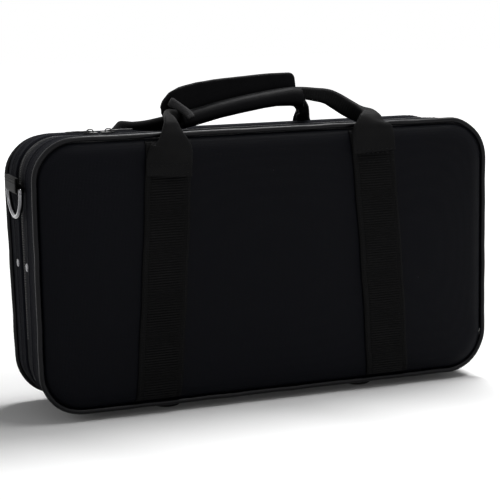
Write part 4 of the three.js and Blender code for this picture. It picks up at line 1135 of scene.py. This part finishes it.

# Cloth hinge: the strip that joins the shells along the bottom and round both lower corners to the zip's ends.
# It dips in a little between the shells.
strip_tuck, strip_width = 0.3, 0.0105
line = rim_line(False, 2.5)
rings = []
for x, z, out_x, out_z in line:
    y = np.linspace(front_depth + strip_tuck, lid_rim + 2 * z * np.tan(half_wedge) - strip_tuck, 15)
    dip = 0.7 * np.sin(np.linspace(0, np.pi, 15)) ** 2
    rings.append(flat_ring(y, tape_sink + dip, tape_thick, x, z, out_x, out_z))
hinge_strip = skin_rings("hinge_strip", rings, tape_cloth, on_front)
dress(hinge_strip, None, "zip_tape", "hinge_cloth")
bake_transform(hinge_strip)

# Lid stays: two short ribbons riveted inside the shells' ends, which stop the lid when it is open.
# Each waves a little between its rivets and is drawn in at both ends.
stay_width, stay_thick, rivet_height, rivet_inset, stay_margin = 14.0, 1.0, 109.0, 9.0, 3.0
band = seam_gap + rivet_height * np.tan(wedge)
stay_length = band + 2 * rivet_inset + stay_width / 2
section = np.array([(-1, 0.5), (-0.92, 0.95), (-0.5, 1), (0, 1), (0.5, 1), (0.92, 0.95), (1, 0.5)])
for name, side in (("left", -1), ("right", 1)):
    out = half_length - wall_thickness - 0.3 - stay_thick / 2
    rings = []
    for share in np.linspace(0, 1, 41):
        y = front_depth + band / 2 + (share - 0.5) * stay_length
        slack = 0.35 * np.sin(share * np.pi) * np.sin(share * 4 * np.pi)
        across = section[:, 0] * stay_width / 2 * (1 - 0.12 * max(0, 1 - min(share, 1 - share) / 0.04))
        thick = section[:, 1] * stay_thick / 2
        rings.append(np.vstack([
            np.stack([side * (out + face_side * thick - slack), np.full(7, y), rivet_height + across], 1)[::face_side]
            for face_side in (1, -1)
        ]))
    stay = skin_rings("lid_stay_" + name + "_ribbon", rings, loop_cloth, on_front)
    dress(stay, None, "stay_ribbon", "lid_stay_" + name)
    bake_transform(stay)

# Shoulder strap rings: a bent and welded D of chromed wire in a tab of webbing looped round its straight bar.
# The tab's two ends lie flat together and are sewn to the shell above the ring.
bright_chrome = grained_paint(
    "bright_plating", dict(roughness=0.12, specular=0.5, metallic=1.0),
    (0.07, 0.07, 0.075), (0.24, 0.24, 0.25), 350, 6, shine=(0.16, 0.05),
)
ring_wire, ring_inside, ring_drop, ring_bend = 4.0, 39.0, 24.0, 2.8
tab_width, tab_thick, tab_lap, tab_setback = 37.0, 1.5, 5.5, 47.0
tab_bore = ring_wire / 2 + 0.3
tab_loop = tab_bore + tab_thick
ring_out, ring_height = 0.9 + tab_loop, wall_height * 0.8134
half, drop = (ring_inside + ring_wire) / 2, ring_drop - ring_wire / 2
corner = [(half - ring_bend + ring_bend * np.cos(a), ring_bend * (np.sin(a) - 1)) for a in np.linspace(np.pi / 2, 0, 7)]
bow = [(half * np.cos(a), -ring_bend - (drop - ring_bend) * np.sin(a)) for a in np.linspace(0, np.pi, 41)[1:-1]]
bar = [(y, 0.0) for y in np.linspace(ring_bend - half, half - ring_bend, 12)[1:-1]]
ring_path = corner + bow + [(-y, z) for y, z in corner[::-1]] + bar
centre, top = tab_bore + tab_thick / 2, tab_loop + tab_lap
tab_line = [(-tab_loop + tab_thick / 2, z) for z in np.linspace(top, 1.2, 14)]
tab_line += [(-centre * np.cos(a), -centre * np.sin(a)) for a in np.linspace(0.1, np.pi - 0.1, 20)]
tab_line += [(centre * np.cos(a), centre * np.sin(a)) for a in np.linspace(0.15, 0.95, 6)]
tab_line += [(0.9, 3.6), (-0.1, 4.7), (-1.05, 5.8)]
tab_line += [(-tab_loop + 1.5 * tab_thick + 0.25, z) for z in np.linspace(6.8, top, 5)]
tab_line = smooth_line(tab_line, 0.5)
ahead = np.gradient(tab_line, axis=0)
ahead /= np.linalg.norm(ahead, axis=1, keepdims=True)
section = np.array([(0.2, 1), (0.6, 1), (0.9, 0.97), (0.97, 0.75), (1, 0.35)])
section = np.vstack([section[::-1] * (-1, 1), section]) * (tab_width / 2, tab_thick / 2 * 0.97)
for name, side in (("left", -1), ("right", 1)):
    spot = np.array([side * (half_length + ring_out), tab_setback, ring_height])
    wire = tube_part([(0, y, z) for y, z in ring_path], ring_wire / 2, 20, closed=True)
    ring = from_parts("strap_ring_" + name + "_wire", [wire], bright_chrome, lambda spots: on_front(spots + spot))
    dress(ring, "strap_ring_" + name + "_body", "bright_metal", "strap_ring_" + name)
    rings = []
    for (u, w), (du, dw) in zip(tab_line, ahead):
        faces = [
            np.stack([u + dw * thick, section[:, 0], w - du * thick], 1) for thick in (section[:, 1], -section[:, 1])
        ]
        rings.append(np.vstack([faces[0], faces[1][::-1]]) * (-side, 1, 1) + spot)
    tab = skin_rings("ring_tab_" + name + "_webbing", rings, loop_cloth, on_front)
    dress(tab, "base", "webbing", "ring_tab_" + name)
    stitch_places = [(y, z) for z in (tab_loop + 1.6, top - 1.6) for y in np.arange(-15.6, 15.7, stitch_pitch)]
    places = [(side * (tab_loop - 0.05), y, z) for y, z in stitch_places]
    ways, ups = [(0, 1, 0)] * len(places), [(side, 0, 0)] * len(places)
    form = bead(stitch_length, stitch_radius)
    row = copies_of("stitch_form", "ring_tab_" + name + "_stitches", form, spot + places, ways, ups, thread, on_front)
    dress(row, "base", "webbing")


# Rivets: domed heads with a small dimple, one through each end of each stay.
# They are turned forms, each with its shank through the wall.
def turned(profile, sides=32):
    """A turned form about the X axis from pairs of place along it and radius."""
    work = bmesh.new()
    loops = []
    for along, radius in profile:
        if radius == 0:
            loops.append([work.verts.new((along, 0, 0))] * sides)
        else:
            loops.append([work.verts.new((along, radius * np.cos(a), radius * np.sin(a))) for a in circle(sides)])
    for a, b in zip(loops, loops[1:]):
        for k in range(sides):
            corners = list(dict.fromkeys((a[k], a[(k + 1) % sides], b[(k + 1) % sides], b[k])))
            if len(corners) > 2:
                work.faces.new(corners)
    return work


rivet_radius, rivet_head, rivet_shank = 3.4, 1.1, 1.3
rivet_profile = [(-wall_thickness, 0), (-wall_thickness, rivet_shank), (0.15, rivet_shank), (0.2, rivet_radius - 0.2)]
dome = np.linspace(0.05, np.pi / 2 - 0.35, 8)
rivet_profile += [(0.3 + rivet_head * np.sin(a), rivet_radius * np.cos(a)) for a in dome]
rivet_profile += [(0.3 + rivet_head * share, radius) for share, radius in ((1, 0.9), (0.8, 0.5), (0.75, 0))]
for (label, _, seat, body), y in zip(case_sides, (front_depth - rivet_inset, lid_rim + rivet_inset)):
    for name, side in (("left", -1), ("right", 1)):
        node = label + "_stay_rivet_" + name
        spot = np.array([side * half_length, y, rivet_height])
        form = [turned(rivet_profile)]
        rivet = from_parts(node + "_head", form, bright_chrome, lambda spots: seat(spots * (side, 1, 1) + spot))
        dress(rivet, body, "bright_metal", node)

# Feet: low rubber studs with a rounded edge and a shallow ring in the sole, under both shells.
# Each takes its height and its place from the solid that it stands for.
foot_rubber = grained_paint(
    "foot_rubber_black", dict(roughness=0.75, specular=0.2),
    (0.003, 0.003, 0.003), (0.014, 0.014, 0.0135), 160, 6, 0.0003,
)
foot_radius, foot_rounding, foot_neck = 11.5, 2.5, 11.25
quarter = np.linspace(np.pi / 2, 0, 7)
foot_edge = [(foot_rounding * (1 - np.sin(a)), foot_radius - foot_rounding * (1 - np.cos(a))) for a in quarter]
for label, _, _, body in case_sides:
    for name in ("left", "right"):
        node = label + "_foot_" + name
        low, high = (np.array(v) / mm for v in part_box(node))
        height, middle = high[2] - low[2], (low + high) / 2
        profile = [(0.35, 0), (0.35, 6.4), (0, 7), *foot_edge, (height * 0.7, foot_neck), (height, foot_neck), (height, 0)]

        def seat_foot(spots):
            return (np.stack([spots[:, 1], -spots[:, 2], spots[:, 0]], 1) + (middle[0], middle[1], low[2])) * mm

        dress(from_parts(node + "_stud", [turned(profile, 40)], foot_rubber, seat_foot), body, "foot_rubber", node)

# Tray: foam covered in plush, with a hollow pressed for each joint of the clarinet and a well for small things.
# The cloth is glued down, so every edge of the foam shows soft.
plush_pile, tree, shader = paint_base("lining_plush", 0.9, 0.1, 0.35, 0.6)
place = place_of(tree)
pile, brushed = noise(tree, place, 900, 4), noise(tree, place, 14, 3, 1.2)
share = calc(tree, "MULTIPLY_ADD", pile, 0.5, calc(tree, "MULTIPLY", brushed, 0.5))
feed(tree, shader["Base Color"], mix_colour(tree, (0.006, 0.0085, 0.018), (0.016, 0.021, 0.042), share))
bump_from(tree, shader, pile, 0.0006)

work = bmesh.new()
work.from_mesh(bpy.data.objects["instrument_tray"].data)
bmesh.ops.remove_doubles(work, verts=work.verts, dist=0.00002)
mesh = bpy.data.meshes.new("tray_plush")
work.to_mesh(mesh)
work.free()
mesh.materials.clear()
tray = new_piece("tray_plush", mesh, plush_pile)
even = tray.modifiers.new("even", "REMESH")
even.mode, even.voxel_size = "VOXEL", 0.0021
soften = tray.modifiers.new("soften", "SMOOTH")
soften.factor, soften.iterations = 0.6, 5
made = mesh_made(tray)
tray.modifiers.clear()
tray.data = made
made.shade_smooth()
dress(tray, "base", "plush", "instrument_tray")


# Lid lining: a thin foam pad in the same plush, glued to the lid's inside and a little crowned.
# It is sewn down round its edge and swells like the outer panels.
def lining_face(x, z, rise):
    return back_face(x, z, -floor_thickness - rise)


lining_pad, lining_flange = (wall_thickness + 0.3, 7.0, 5.0, 2.0), 0.3
lining_stops = [0, 0.15, 0.5, 1.1, 2, 3.2, 4.8, 6.8, 9.2, 12, 16, 21, 27, 34, 42, 50, 58, 66, 74, 82, 89, 94.5]
lining, _, ring = pad_mesh("lining_plush_pad", lining_face, on_lid, plush_pile, lining_pad, lining_stops, lining_flange)
swell(lining, outline_count, np.nonzero(ring <= held_rings)[0])
dress(lining, "lid", "plush", "lid_lining")
